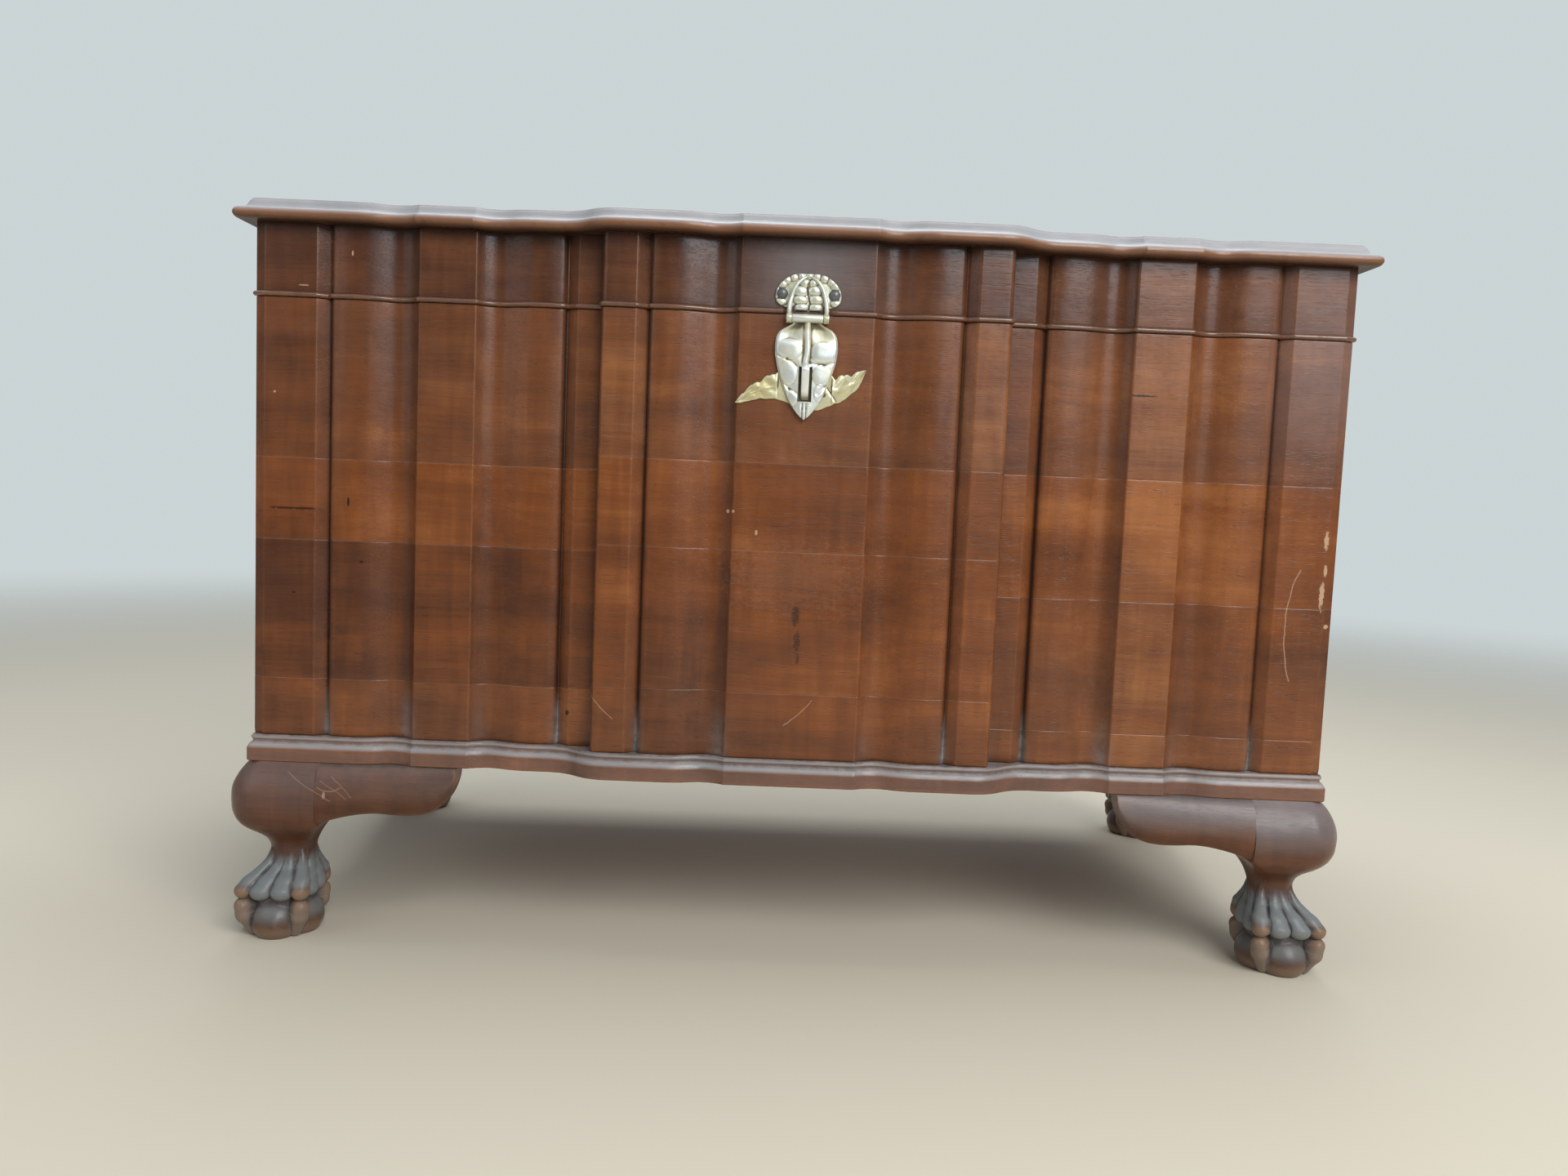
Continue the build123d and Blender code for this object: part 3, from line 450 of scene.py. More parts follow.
frontLook = {
    "turn": (0, 0, 0), "tone": 0.505, "toneReach": 0.30, "streak": 0.46, "fibre": 0.18, "ripple": 0.28,
    "patch": 0.62, "warm": 0.1, "pore": 0.3, "wear": 0.5, "wearColour": (0.36, 0.155, 0.062, 1),
    "wearScale": 60.0, "patchy": 0.7, "seam": 0.10, "dirtAndShade": 0.85, "dustAndSheen": 0.85, "dustLow": 0.200,
    "dustHigh": 0.260, "dustAndSheenOnTop": 0.35, "smooth": 0.22, "rough": 0.36, "grainRelief": 0.35,
    "unevenness": 2.4, "shine": 0.30, "coat": 0.08, "coatRoughness": 0.18, "paintedSheen": 0.8,
    "paintedSheenColour": (0.42, 0.46, 0.50, 1),
}
darkMark = (0.012, 0.006, 0.004, 1)
paleChip = (0.50, 0.33, 0.21, 1)
frontMarks = {
    "scratches": [
        ((0.650, 0, 0.352), 0.1630, 0.0009, 0.300, 0.412, 0.75, (0.48, 0.30, 0.20, 1)),
        ((0.405, 0, 0.530), 0.2000, 0.0007, 0.268, 0.302, 0.75, (0.48, 0.30, 0.20, 1)),
        ((-0.090, 0, 0.350), 0.1380, 0.0006, 0.240, 0.266, 0.70, (0.50, 0.33, 0.22, 1)),
    ],
    "spots": [
        ((-0.4428, -0.2465, 0.4409), (0.0012, 0.02, 0.0050), 0.2, 0.9, darkMark),
        ((-0.4960, -0.2515, 0.4325), (0.0240, 0.02, 0.0014), 0.8, 0.75, darkMark),
        ((-0.4949, -0.2515, 0.3494), (0.0020, 0.02, 0.0012), 0.3, 0.8, darkMark),
        ((-0.4294, -0.2465, 0.3817), (0.0022, 0.02, 0.0015), 0.3, 0.8, darkMark),
        ((-0.2229, -0.2515, 0.2395), (0.0020, 0.02, 0.0028), 0.3, 0.9, darkMark),
        ((-0.0692, -0.2755, 0.4471), (0.0016, 0.02, 0.0020), 0.3, 0.9, paleChip),
        ((-0.0640, -0.2755, 0.4473), (0.0014, 0.02, 0.0016), 0.3, 0.9, paleChip),
        ((-0.0409, -0.2755, 0.4277), (0.0014, 0.02, 0.0026), 0.4, 0.8, paleChip),
        ((0.0005, -0.2755, 0.3490), (0.0040, 0.02, 0.0110), 0.8, 0.62, darkMark),
        ((0.0025, -0.2755, 0.3230), (0.0034, 0.02, 0.0090), 0.9, 0.55, darkMark),
        ((0.0040, -0.2755, 0.3060), (0.0016, 0.02, 0.0050), 0.9, 0.5, darkMark),
        ((-0.0040, -0.2755, 0.3850), (0.0620, 0.02, 0.0340), 1.5, 0.05, (0.42, 0.34, 0.30, 1)),
        ((0.3317, -0.2515, 0.5756), (0.0130, 0.02, 0.0012), 0.6, 0.85, darkMark),
        ((0.5225, -0.2515, 0.4410), (0.0026, 0.02, 0.0085), 0.7, 0.95, paleChip),
        ((0.5238, -0.2515, 0.4120), (0.0018, 0.02, 0.0060), 0.7, 0.95, paleChip),
        ((0.5215, -0.2515, 0.3870), (0.0024, 0.02, 0.0140), 0.8, 0.95, paleChip),
        ((0.5290, -0.2515, 0.3560), (0.0030, 0.02, 0.0022), 0.6, 0.95, paleChip),
        ((-0.5150, -0.2515, 0.5450), (0.0016, 0.02, 0.0012), 0.4, 0.8, paleChip),
        ((-0.4870, -0.2515, 0.6480), (0.0050, 0.02, 0.0008), 0.6, 0.7, paleChip),
        ((-0.4410, -0.2515, 0.6800), (0.0010, 0.02, 0.0026), 0.5, 0.9, paleChip),
    ],
}
frontWood = makeWood("waxedFrontWood", frontLook, frontMarks)
lidLook = dict(
    frontLook, paintedSheen=0.72, paintedSheenColour=(0.52, 0.58, 0.63, 1), shine=0.5, patch=0.40, tone=0.40, wear=0.8,
    patchy=0.6, dustAndSheen=0.3, dustAndSheenOnTop=0.25, smooth=0.26, rough=0.42, warm=0.25, wearScale=45.0,
)
lidWood = makeWood("waxedLidWood", lidLook)
beadLook = dict(
    lidLook, tone=0.38, toneReach=0.1, wear=0.3, streak=0.15, warm=0.0, shine=0.8, smooth=0.16, rough=0.30,
    coat=0.3,
)
beadWood = makeWood("darkBeadWood", beadLook)
baseLook = dict(
    frontLook, paintedSheen=0.62, tone=0.50, wear=0.5, patchy=0.5, warm=0.35, dustAndSheenOnTop=0.9, dustAndSheen=0.55, dirtAndShade=0.6
)
baseWood = makeWood("waxedBaseWood", baseLook)
legLook = dict(
    frontLook, tone=0.42, wear=0.55, patchy=0.7, warm=-0.12, dirtAndShade=1.0, dustAndSheen=0.25, dustAndSheenOnTop=0.2, bare=0.75,
    bareColour=(0.25, 0.175, 0.12, 1), silverAndSheen=0.85, silverAndSheenColour=(0.19, 0.22, 0.228, 1), smooth=0.26,
    rough=0.44, unevenness=3.2, patch=0.36,
)
legMarks = {
    "scratches": [
        ((-0.452, 0, 0.172), 0.0170, 0.0009, 0.150, 0.160, 0.6, (0.36, 0.22, 0.16, 1)),
        ((-0.622, 0, -0.100), 0.3000, 0.0008, 0.146, 0.172, 0.5, (0.36, 0.22, 0.16, 1)),
        ((-0.642, 0, -0.060), 0.3000, 0.0007, 0.150, 0.170, 0.5, (0.36, 0.22, 0.16, 1)),
        ((-0.582, 0, -0.040), 0.2400, 0.0007, 0.148, 0.166, 0.5, (0.36, 0.22, 0.16, 1)),
    ],
    "spots": [((-0.4560, -0.2775, 0.1520), (0.0016, 0.03, 0.0040), 0.3, 0.7, (0.42, 0.27, 0.19, 1))],
}
legWood = makeWood("carvedLegWood", legLook, legMarks)
earWood = makeWood("waxedEarWood", dict(legLook, bare=0.5, silverAndSheen=0.0), legMarks)
sideLook = dict(frontLook, patch=0.36, turn=(0, 0, math.radians(90)), tone=0.42, warm=0.30, dustAndSheen=0.3)
sideWood = makeWood("waxedSideWood", sideLook)
plainLook = dict(
    frontLook, tone=0.62, warm=0.20, streak=0.5, pore=0.35, smooth=0.55, rough=0.72, coat=0.0, dustAndSheen=0.35,
    dustAndSheenOnTop=0.5, wear=0.2, patch=0.2,
)
plainWood = makeWood("unfinishedWood", plainLook)
plainSideWood = makeWood("unfinishedCrossWood", dict(plainLook, turn=(0, 0, math.radians(90))))
print("wood ready")


def makeMetal(name, look):
    material = bpy.data.materials.new(name)
    material.use_nodes = True
    tree = material.node_tree
    shader = tree.nodes["Principled BSDF"]
    place = add(tree, "ShaderNodeTexCoord").outputs["Object"]
    recess, edge = attribute(tree, "recess"), attribute(tree, "edge")
    clouds = noiseValue(tree, place, look["cloudScale"], 4.0, 0.6)
    stained = maths(tree, "ADD", recess, look["tarnish"], clamp=True)
    inputs = {"Vector": place, "Mask": stained, "Scale": 160.0, "Patchy": 0.35}
    tarnish = add(tree, "ShaderNodeGroup", inputs, node_tree=brokenMask).outputs[0]
    colour = blendColour(tree, rangeMap(tree, clouds, 0.35, 0.65), look["colourA"], look["colourB"])
    colour = blendColour(tree, maths(tree, "MULTIPLY", edge, 0.8), colour, look["polished"])
    colour = blendColour(tree, maths(tree, "MULTIPLY", tarnish, look["stain"]), colour, look["stainColour"])
    # near black in the deepest hollows: grime and painted shade
    grimeAndShade = maths(tree, "MULTIPLY", rangeMap(tree, recess, 0.45, 1.0), look["grimeAndShade"])
    colour = blendColour(tree, grimeAndShade, colour, (0.035, 0.028, 0.016, 1))
    tree.links.new(colour, shader.inputs["Base Color"])
    gloss = rangeMap(tree, clouds, 0.3, 0.7, look["smooth"], look["rough"])
    gloss = maths(tree, "ADD", gloss, maths(tree, "MULTIPLY", tarnish, 0.22), clamp=True)
    tree.links.new(gloss, shader.inputs["Roughness"])
    metallic = maths(tree, "SUBTRACT", look["metallic"], maths(tree, "MULTIPLY", grimeAndShade, 0.6), clamp=True)
    tree.links.new(metallic, shader.inputs["Metallic"])
    pits = noiseValue(tree, place, 900.0, 3.0, 0.6)
    dents = noiseValue(tree, place, 130.0, 2.0, 0.5)
    height = maths(
        tree, "ADD", maths(tree, "MULTIPLY", pits, 0.15), maths(tree, "MULTIPLY", dents, look["dents"])
    )
    bumped = add(tree, "ShaderNodeBump", {"Height": height, "Strength": 1.0, "Distance": 0.0004})
    tree.links.new(bumped.outputs[0], shader.inputs["Normal"])
    return material


castLook = {
    "cloudScale": 45.0, "tarnish": 0.06, "colourA": (0.74, 0.78, 0.76, 1), "colourB": (0.66, 0.66, 0.54, 1),
    "polished": (0.88, 0.92, 0.92, 1), "stain": 0.85, "stainColour": (0.36, 0.31, 0.13, 1), "grimeAndShade": 0.85,
    "smooth": 0.26, "rough": 0.42, "metallic": 0.5, "dents": 0.25,
}
castBrass = makeMetal("wornCastBrass", castLook)
wingBrass = makeMetal(
    "yellowedCastBrass",
    dict(
        castLook, tarnish=0.12, colourA=(0.68, 0.63, 0.40, 1), colourB=(0.56, 0.49, 0.25, 1),
        polished=(0.86, 0.84, 0.68, 1), stain=0.8,
    ),
)
plateBrass = makeMetal(
    "agedCastBrass",
    dict(castLook, tarnish=0.12, colourA=(0.64, 0.66, 0.56, 1), colourB=(0.54, 0.52, 0.36, 1)),
)
hingeLook = dict(
    castLook, tarnish=0.5, colourA=(0.50, 0.38, 0.16, 1), colourB=(0.38, 0.27, 0.10, 1),
    polished=(0.7, 0.58, 0.3, 1), smooth=0.3, rough=0.5, dents=0.3,
)
hingeBrass = makeMetal("dullHingeBrass", hingeLook)
steelLook = dict(
    castLook, colourA=(0.20, 0.20, 0.21, 1), colourB=(0.12, 0.12, 0.125, 1), polished=(0.5, 0.5, 0.5, 1),
    stainColour=(0.07, 0.045, 0.03, 1), smooth=0.25, rough=0.45, dents=0.3,
)
screwSteel = makeMetal("darkScrewSteel", steelLook)
print("metal ready")

# waved front
front = {
    "centreArris": 64.0, "wave": 87.0, "centreBand": 45.0, "sideBand": 38.0, "sideFlat": 55.0, "step": 24.0,
    "grooveDepth": 9.0, "splay": 12.0, "brow": 6.4, "hollowRun": 21.0, "hollowDepth": 10.0,
    "swellRadius": 85.0, "setback": 1.0, "stepRound": 5.0, "chamferX": 10.0, "chamferY": 5.0,
    "arrisSoftness": 0.9, "unevenness": 0.22,
    "seams": {"left": (482, 402, 264), "centre": (495, 410, 271), "right": (494, 373, 240)},
    "boardTone": {
        "left": (0.14, 0.42, -0.24, 0.26), "centre": (0.36, 0.26, 0.06, 0.04),
        "right": (0.24, 0.40, 0.14, 0.34),
    },
    "boardWarm": {
        "left": (0.40, 1.0, 0.80, 0.60), "centre": (0.35, 0.80, 0.90, 0.70),
        "right": (0.40, 0.90, 0.60, 0.55),
    },
    # skirt boards darker: their own tone and painted shade under the lid
    "skirtToneAndShade": {"left": -0.36, "centre": -0.50, "right": -0.28},
    "skirtWarm": {"left": 0.15, "centre": 0.05, "right": 0.10},
}
centreGroove = front["centreArris"] + front["wave"]
stepX = centreGroove + front["centreBand"]
innerGroove = stepX + front["sideBand"]
innerArris = innerGroove + front["wave"]
outerArris = innerArris + front["sideFlat"]
outerGroove = outerArris + front["wave"]
# block tones of the strips; the first left value also lifts the narrow band by the step, painted light
# against the step's shadow
bandToneAndPaintedLight = {
    "left": (0.15, -0.05, 0.2, -0.05, -0.24), "right": (0.0, 0.12, 0.42, 0.05, -0.1),
    "centre": (0.08, -0.08, 0.0, 0.0, 0.15),
}


def waveDepth(u):  # how far one wave lies behind its arris, from its groove at 0
    f = front
    hollowR = (f["hollowRun"] ** 2 + f["hollowDepth"] ** 2) / (2 * f["hollowDepth"])
    deepest = f["wave"] - f["hollowRun"]
    both = hollowR + f["swellRadius"]
    swell = deepest - math.sqrt(both ** 2 - (both - f["hollowDepth"] + f["setback"]) ** 2)
    meet = deepest - (deepest - swell) * hollowR / both
    hollow = f["hollowDepth"] - hollowR + np.sqrt(np.maximum(hollowR ** 2 - (u - deepest) ** 2, 0))
    crest = f["setback"] + f["swellRadius"] - np.sqrt(f["swellRadius"] ** 2 - (u - swell) ** 2)
    browY = f["setback"] + f["swellRadius"] - math.sqrt(f["swellRadius"] ** 2 - (f["brow"] - swell) ** 2)
    turn = np.clip(1 - u / f["brow"], 0, 1)
    brow = browY + (f["grooveDepth"] - browY) * (1 - np.sqrt(1 - turn ** 2))
    return np.where(u > meet, hollow, np.where(u < f["brow"], brow, crest))


def frontDepth(x):  # y of the waved front
    f = front
    a = np.abs(x)

    def up(groove):
        return f["grooveDepth"] * (1 - (a - groove) / f["splay"])

    def down(groove):
        return f["grooveDepth"] * (a - groove + f["splay"]) / f["splay"]

    stepArc = f["stepRound"] - np.sqrt(np.maximum(f["stepRound"] ** 2 - (a - stepX + f["stepRound"]) ** 2, 0))
    edge = chest["halfWidth"] - f["chamferX"]
    pieces = [
        (f["centreArris"], 0 * a - f["step"]),
        (centreGroove, waveDepth(centreGroove - a) - f["step"]),
        (centreGroove + f["splay"], up(centreGroove) - f["step"]),
        (stepX - f["stepRound"], 0 * a - f["step"]),
        (stepX, stepArc - f["step"]),
        (innerGroove - f["splay"], 0 * a),
        (innerGroove, down(innerGroove)),
        (innerArris, waveDepth(a - innerGroove)),
        (outerArris, 0 * a),
        (outerGroove, waveDepth(outerGroove - a)),
        (outerGroove + f["splay"], up(outerGroove)),
        (edge, 0 * a),
        (chest["halfWidth"] + 1, f["chamferY"] * (a - edge) / f["chamferX"]),
    ]
    y = pieces[-1][1]
    for limit, value in pieces[-2::-1]:
        y = np.where(a <= limit + 1e-6, value, y)
    return y


def softDepth(x, low, high):  # the same with its arrises eased, inside one panel
    reach = front["arrisSoftness"]
    shifts = np.linspace(-reach, reach, 7)
    return np.mean([frontDepth(np.clip(x + s, low, high)) for s in shifts], axis=0)


def frontStations(low, high):
    features = (
        front["centreArris"], centreGroove, centreGroove + front["splay"], stepX,
        innerGroove - front["splay"], innerGroove, innerArris, outerArris, outerGroove,
        outerGroove + front["splay"], chest["halfWidth"] - front["chamferX"],
    )
    close = (-7, -5, -3.6, -2.4, -1.6, -1.0, -0.5, -0.15, 0, 0.15, 0.5, 1.0, 1.6, 2.4, 3.6, 5, 7)
    stations = [low, low + 0.4, low + 1, high - 1, high - 0.4, high]
    stations += list(np.arange(low, high, 3.5))
    for feature in features:
        stations += [way * feature + c for way in (-1, 1) for c in close]
    kept = sorted(s for s in stations if low <= s <= high)
    return np.array([s for k, s in enumerate(kept) if k == 0 or s - kept[k - 1] > 0.12 or s == high])


def frontMarkings(x, z, side, board, ease):
    a = np.abs(x)
    arrises = [
        (front["centreArris"], 1.2, 0.30), (innerArris, 1.2, 0.28), (outerArris, 1.2, 0.15),
        (stepX - 2, 2.0, 0.30), (centreGroove + front["splay"], 1.4, 0.22),
        (innerGroove - front["splay"], 1.4, 0.20), (outerGroove + front["splay"], 1.4, 0.20),
        (chest["halfWidth"] - front["chamferX"], 1.2, 0.20), (centreGroove - front["brow"], 1.2, 0.25),
        (innerGroove + front["brow"], 1.2, 0.25), (outerGroove - front["brow"], 1.2, 0.25),
    ]
    edge = sum(share * bump(a, place, width) for place, width, share in arrises) + ease * 0.12
    grooves = (centreGroove, innerGroove, outerGroove)
    # dirt and painted shade in the grooves and in the step's inner corner
    recess = sum(0.75 * bump(a, g, 2.0) + 0.22 * bump(a, g, 6) for g in grooves)
    recess = recess * (1 - 0.8 * smoothStep(z, 638, 642))
    recess = recess + (0 if side == "centre" else 0.8 * bump(a, stepX, 2.6) + 0.12 * bump(a, stepX, 8))
    shaded = (-outerArris - 7, innerArris - 7, -front["centreArris"] - 7)  # hollows turned from the light
    lit = (-innerArris + 7, outerArris + 7, front["centreArris"] + 7)
    # painted shade in the hollows, more in those turned from the light
    recess = recess + sum(0.36 * bump(x, place, 8) for place in shaded)
    recess = recess + sum(0.12 * bump(x, place, 7) for place in lit)
    # painted shadow of the lid's overhang along the top of the skirt
    recess = recess + 0.8 * smoothStep(z, chest["skirtTop"] - 14, chest["skirtTop"] - 1)
    if side == "centre":
        limits = (-centreGroove, -front["centreArris"], front["centreArris"], centreGroove)
    else:
        way = 1 if side == "right" else -1
        limits = sorted(way * place for place in (innerGroove, innerArris, outerArris, outerGroove))
    strip = sum((x > limit).astype(int) for limit in limits)
    tones = bandToneAndPaintedLight[side] if side != "left" else bandToneAndPaintedLight[side][::-1]
    picker = random.Random(f"{side}{board}")
    blocks = np.array(tones) + np.array([picker.uniform(-0.12, 0.12) for k in tones])
    lots = np.array([picker.uniform(0, 9) for k in tones])
    reflectionPaint = 0.30 * bump(x, 0, 52) * smoothStep(z, 628, 650)  # painted reflection over the hasp, then high on the right
    rightReflectionPaint = 0.16 * smoothStep(x, 430, 500) * smoothStep(z, 470, 600)
    reflectionPaint = reflectionPaint + rightReflectionPaint * (1 - 0.5 * smoothStep(z, 636, 650))
    return edge, recess, blocks[strip], lots[strip], reflectionPaint


def wavedBoard(name, side, board, low, high, z0, z1, tone, warm, body, nodes):
    xs = frontStations(low, high)
    rises = [0, 0.3, 0.8, 1.6]
    middle = np.linspace(z0 + 6, z1 - 6, max(3, int((z1 - z0) / 10)))
    zs = np.array([z0 + r for r in rises] + list(middle) + [z1 - r for r in rises[::-1]])
    x, z = np.meshgrid(xs, zs, indexing="ij")
    foot = 2.2 if z0 == chest["caseBottom"] else 0.35
    ease = np.exp(-(z - z0) / (0.35 if foot < 1 else 1.2)) * foot + np.exp(-(z1 - z) / 0.35) * 0.35
    y = softDepth(x, low, high) + ease
    points = np.stack([x, y, z], axis=-1)
    points[..., 1] += front["unevenness"] * (
        rippleGrid(points, 85, board * 31) + 0.5 * rippleGrid(points, 37, board * 17)
    )
    edge, recess, strip, lot, reflectionPaint = frontMarkings(x, z, side, board, np.clip(ease / 0.35, 0, 1))
    seam = np.exp(-(z - z0) / 0.5) + np.exp(-(z1 - z) / 0.5)
    marks = {
        "edge": np.clip(edge, 0, 1), "recess": np.clip(recess, 0, 1), "tone": tone + strip,
        "warm": warm + 0 * x, "lot": lot, "seam": seam, "paintedSheen": reflectionPaint,
    }
    bm = backed(gridMesh(points, marks), chest["wallBack"])
    return makePiece(name, bm, body, frontWood, nodes)


panels = {
    "left": (-chest["halfWidth"], -stepX), "centre": (-stepX, stepX), "right": (stepX, chest["halfWidth"])
}
for side, (low, high) in panels.items():
    levels = (chest["caseTop"], *front["seams"][side], chest["caseBottom"])
    for k in range(len(levels) - 1):
        wavedBoard(
            f"waved_{side}_board_{k + 1}", side, k, low, high, levels[k + 1], levels[k],
            front["boardTone"][side][k], front["boardWarm"][side][k], "case",
            [f"front_{side}_board_{k + 1}"],
        )
    wavedBoard(
        f"waved_skirt_{side}", side, 7, low, high, chest["skirtBottom"], chest["skirtTop"],
        front["skirtToneAndShade"][side], front["skirtWarm"][side], "lid", [f"skirt_front_{side}"],
    )
print("front boards ready")

# beads under the skirt
bead = {"projection": 3.5, "middle": 638.95, "halfHeight": 2.55, "notch": 21.3, "steps": 8}


def beadRows():
    angles = np.radians(np.linspace(-90, 90, bead["steps"] + 1))
    return bead["projection"] * np.cos(angles), bead["middle"] + bead["halfHeight"] * np.sin(angles)


def makeFrontBead():
    reach, heights = beadRows()
    wide = chest["halfWidth"]
    xs = frontStations(-wide, wide)
    shifts = np.linspace(-1, 1, 29)
    columns = []
    for r, z in zip(reach, heights):
        x = xs * (wide + r) / wide
        fronts = []
        for s in shifts:
            moved = x + s * r
            depth = np.where(np.abs(moved) <= wide, frontDepth(np.clip(moved, -wide, wide)), 99)
            fronts.append(depth - r * math.sqrt(1 - s * s))
        y = np.min(fronts, axis=0)
        flat = smoothStep(np.abs(xs), bead["notch"], bead["notch"] + 0.5)
        y = y * flat + (-front["step"]) * (1 - flat)
        corner = front["chamferY"]
        x = np.concatenate([[-wide - r, -wide - r], x, [wide + r, wide + r]])
        y = np.concatenate([[chest["wallBack"], corner], y, [corner, chest["wallBack"]]])
        columns.append(np.stack([x, y, 0 * x + z], axis=-1))
    inner = []
    for z in (heights[-1], heights[0]):
        x = np.clip(columns[0][:, 0], -wide + chest["sideWall"], wide - chest["sideWall"])
        inner.append(np.stack([x, 0 * x + chest["wallBack"], 0 * x + z], axis=-1))
    points = np.stack(columns + inner + [columns[0]], axis=1)
    edge = np.zeros(points.shape[:2])
    edge[:, 2:-4] = 0.55
    marks = {
        "edge": edge, "tone": edge * 0 - 0.15, "warm": edge * 0 + 0.25, "lot": edge * 0 + 3.1,
        "recess": np.zeros_like(edge),
    }
    # painted shade along the bead's lower and upper edges
    marks["recess"][:, [0, bead["steps"]]] = 0.9
    return makePiece("front_bead_nose", gridMesh(points, marks), "lid", beadWood, ["bead_front"])


def makeSideBead(side, way):
    reach, heights = beadRows()
    ys = np.array([chest["wallBack"], chest["wallBack"] + 1, 180, 350, chest["depth"] - 1, chest["depth"]])
    inner = chest["halfWidth"] - chest["sideWall"]
    x = np.concatenate([chest["halfWidth"] + reach, [inner, inner], [chest["halfWidth"] + reach[0]]]) * way
    z = np.concatenate([heights, [heights[-1], heights[0]], [heights[0]]])
    points = carried(x, ys, z)
    edge = np.zeros(points.shape[:2])
    edge[:, 2:-5] = 0.55
    marks = {"edge": edge, "tone": edge * 0 - 0.15, "warm": edge * 0 + 0.25, "lot": edge * 0 + 5.3}
    return makePiece(
        f"{side}_bead_nose", gridMesh(points, marks), "lid", sideLidWood, [f"bead_{side}"]
    )


sideLidWood = makeWood("waxedLidSideWood", dict(lidLook, turn=(0, 0, math.radians(90))))
makeFrontBead()
for side, way in (("left", -1), ("right", 1)):
    makeSideBead(side, way)
print("beads ready")

# calm plan line of lid and base
calm = {"coveRun": 21.0, "coveDepth": 7.0, "swellRadius": 77.0, "stepShift": 14.0, "stepRun": 60.0}


def coveDepth(u):  # one calm wave, from its arris at 0
    radius = (calm["coveRun"] ** 2 + calm["coveDepth"] ** 2) / (2 * calm["coveDepth"])
    span = math.sqrt(
        (radius + calm["swellRadius"]) ** 2 - (radius + calm["swellRadius"] - calm["coveDepth"]) ** 2
    )
    meet = calm["coveRun"] + span * radius / (radius + calm["swellRadius"])
    hollow = calm["coveDepth"] - radius + np.sqrt(np.maximum(radius ** 2 - (u - calm["coveRun"]) ** 2, 0))
    crest = calm["coveRun"] + span
    swell = calm["swellRadius"] - np.sqrt(np.maximum(calm["swellRadius"] ** 2 - (u - crest) ** 2, 0))
    return np.where(u < 0, 0, np.where(u < meet, hollow, np.where(u < crest, swell, 0)))


def calmDepth(x):
    a = np.abs(x)
    middle = stepX + calm["stepShift"]
    half = calm["stepRun"] / 2
    bend = (half ** 2 + (front["step"] / 2) ** 2) / front["step"]
    near = bend - np.sqrt(np.maximum(bend ** 2 - (a - middle + half) ** 2, 0)) - front["step"]
    far = -bend + np.sqrt(np.maximum(bend ** 2 - (middle + half - a) ** 2, 0))
    y = np.where(a < middle - half, coveDepth(a - front["centreArris"]) - front["step"], near)
    y = np.where(a > middle, far, y)
    coves = coveDepth(innerArris - a) * (a < innerArris) + coveDepth(a - outerArris) * (a > outerArris)
    return np.where(a > middle + half, coves, y)


def calmPath(cornerRound, sideEnd, cornerOnly=False):  # places and outward directions, left round to right
    turnX = chest["halfWidth"] - cornerRound
    xs = [turnX * t for t in np.linspace(0, 1, 150)]
    for arris in (front["centreArris"], innerArris, outerArris):
        xs += [arris + c for c in (-2, -1.2, -0.7, -0.3, 0, 0.3, 0.7, 1.2, 2)]
    xs = np.unique(np.round(xs, 2))
    xs = np.concatenate([-xs[:0:-1], xs])
    soft = np.mean([calmDepth(xs + s) for s in np.linspace(-0.9, 0.9, 7)], axis=0)
    places = [(x, y, 0, -1) for x, y in zip(xs, soft)]
    angles = np.radians(np.linspace(0, 45 if cornerOnly else 90, 5 if cornerOnly else 9))[1:]
    corner = []
    for t in angles:
        corner.append((turnX + cornerRound * math.sin(t), cornerRound - cornerRound * math.cos(t), 1, -1))
    if not cornerOnly:
        corner += [(chest["halfWidth"], y, 1, 0) for y in np.linspace(cornerRound, sideEnd, 6)]
    left = [(-x, y, -dx, dy) for x, y, dx, dy in corner][::-1]
    return np.array(left + places + corner)


# lid
lid = {
    "overhang": 17.0, "noseRadius": 5.5, "fillet": 0.8, "topProjection": 4.0, "cornerRound": 8.0,
    "seams": (95, 236, 378),
    "ogee": ((0.0, 9.4), (1.2, 8.0), (3.1, 6.8), (5.0, 6.0), (6.6, 5.3), (7.8, 4.5)), "topEase": 1.2,
}


def lidEdgeRows():  # (out, z, edge wear, recess as painted shade, painted sheen) from the underside round to the top
    bottom = chest["skirtTop"]
    centre = lid["overhang"] - lid["noseRadius"]
    # painted shade on the underside behind the nose
    rows = [(centre - 6, bottom, 0, 0.8, 0)]
    for turn in np.linspace(-90, 90, 17):
        t = math.radians(turn)
        # painted sheen on the nose's upper half, painted shade on its lower half
        paintedSheen = float(smoothStep(turn, -12, 78))
        recess = 0.7 * float(smoothStep(-turn, 5, 50))
        z = bottom + lid["noseRadius"] * (1 + math.sin(t))
        rows.append((centre + lid["noseRadius"] * math.cos(t), z, 0.55, recess, paintedSheen))
    step = bottom + 2 * lid["noseRadius"]
    rows.append((centre - lid["fillet"], step + 0.15, 0.1, 0.2, 0.7))
    for rise, out in lid["ogee"]:
        rows.append((out, step + 0.5 + rise, 0.1, 0, 0.85))
    top = chest["lidTop"]
    for turn in (0, 30, 60, 90):
        t = math.radians(turn)
        out = lid["topProjection"] - lid["topEase"] * (1 - math.cos(t))
        rows.append((out, top - lid["topEase"] * (1 - math.sin(t)), 0.4, 0, 0.85 - turn / 180))
    return rows


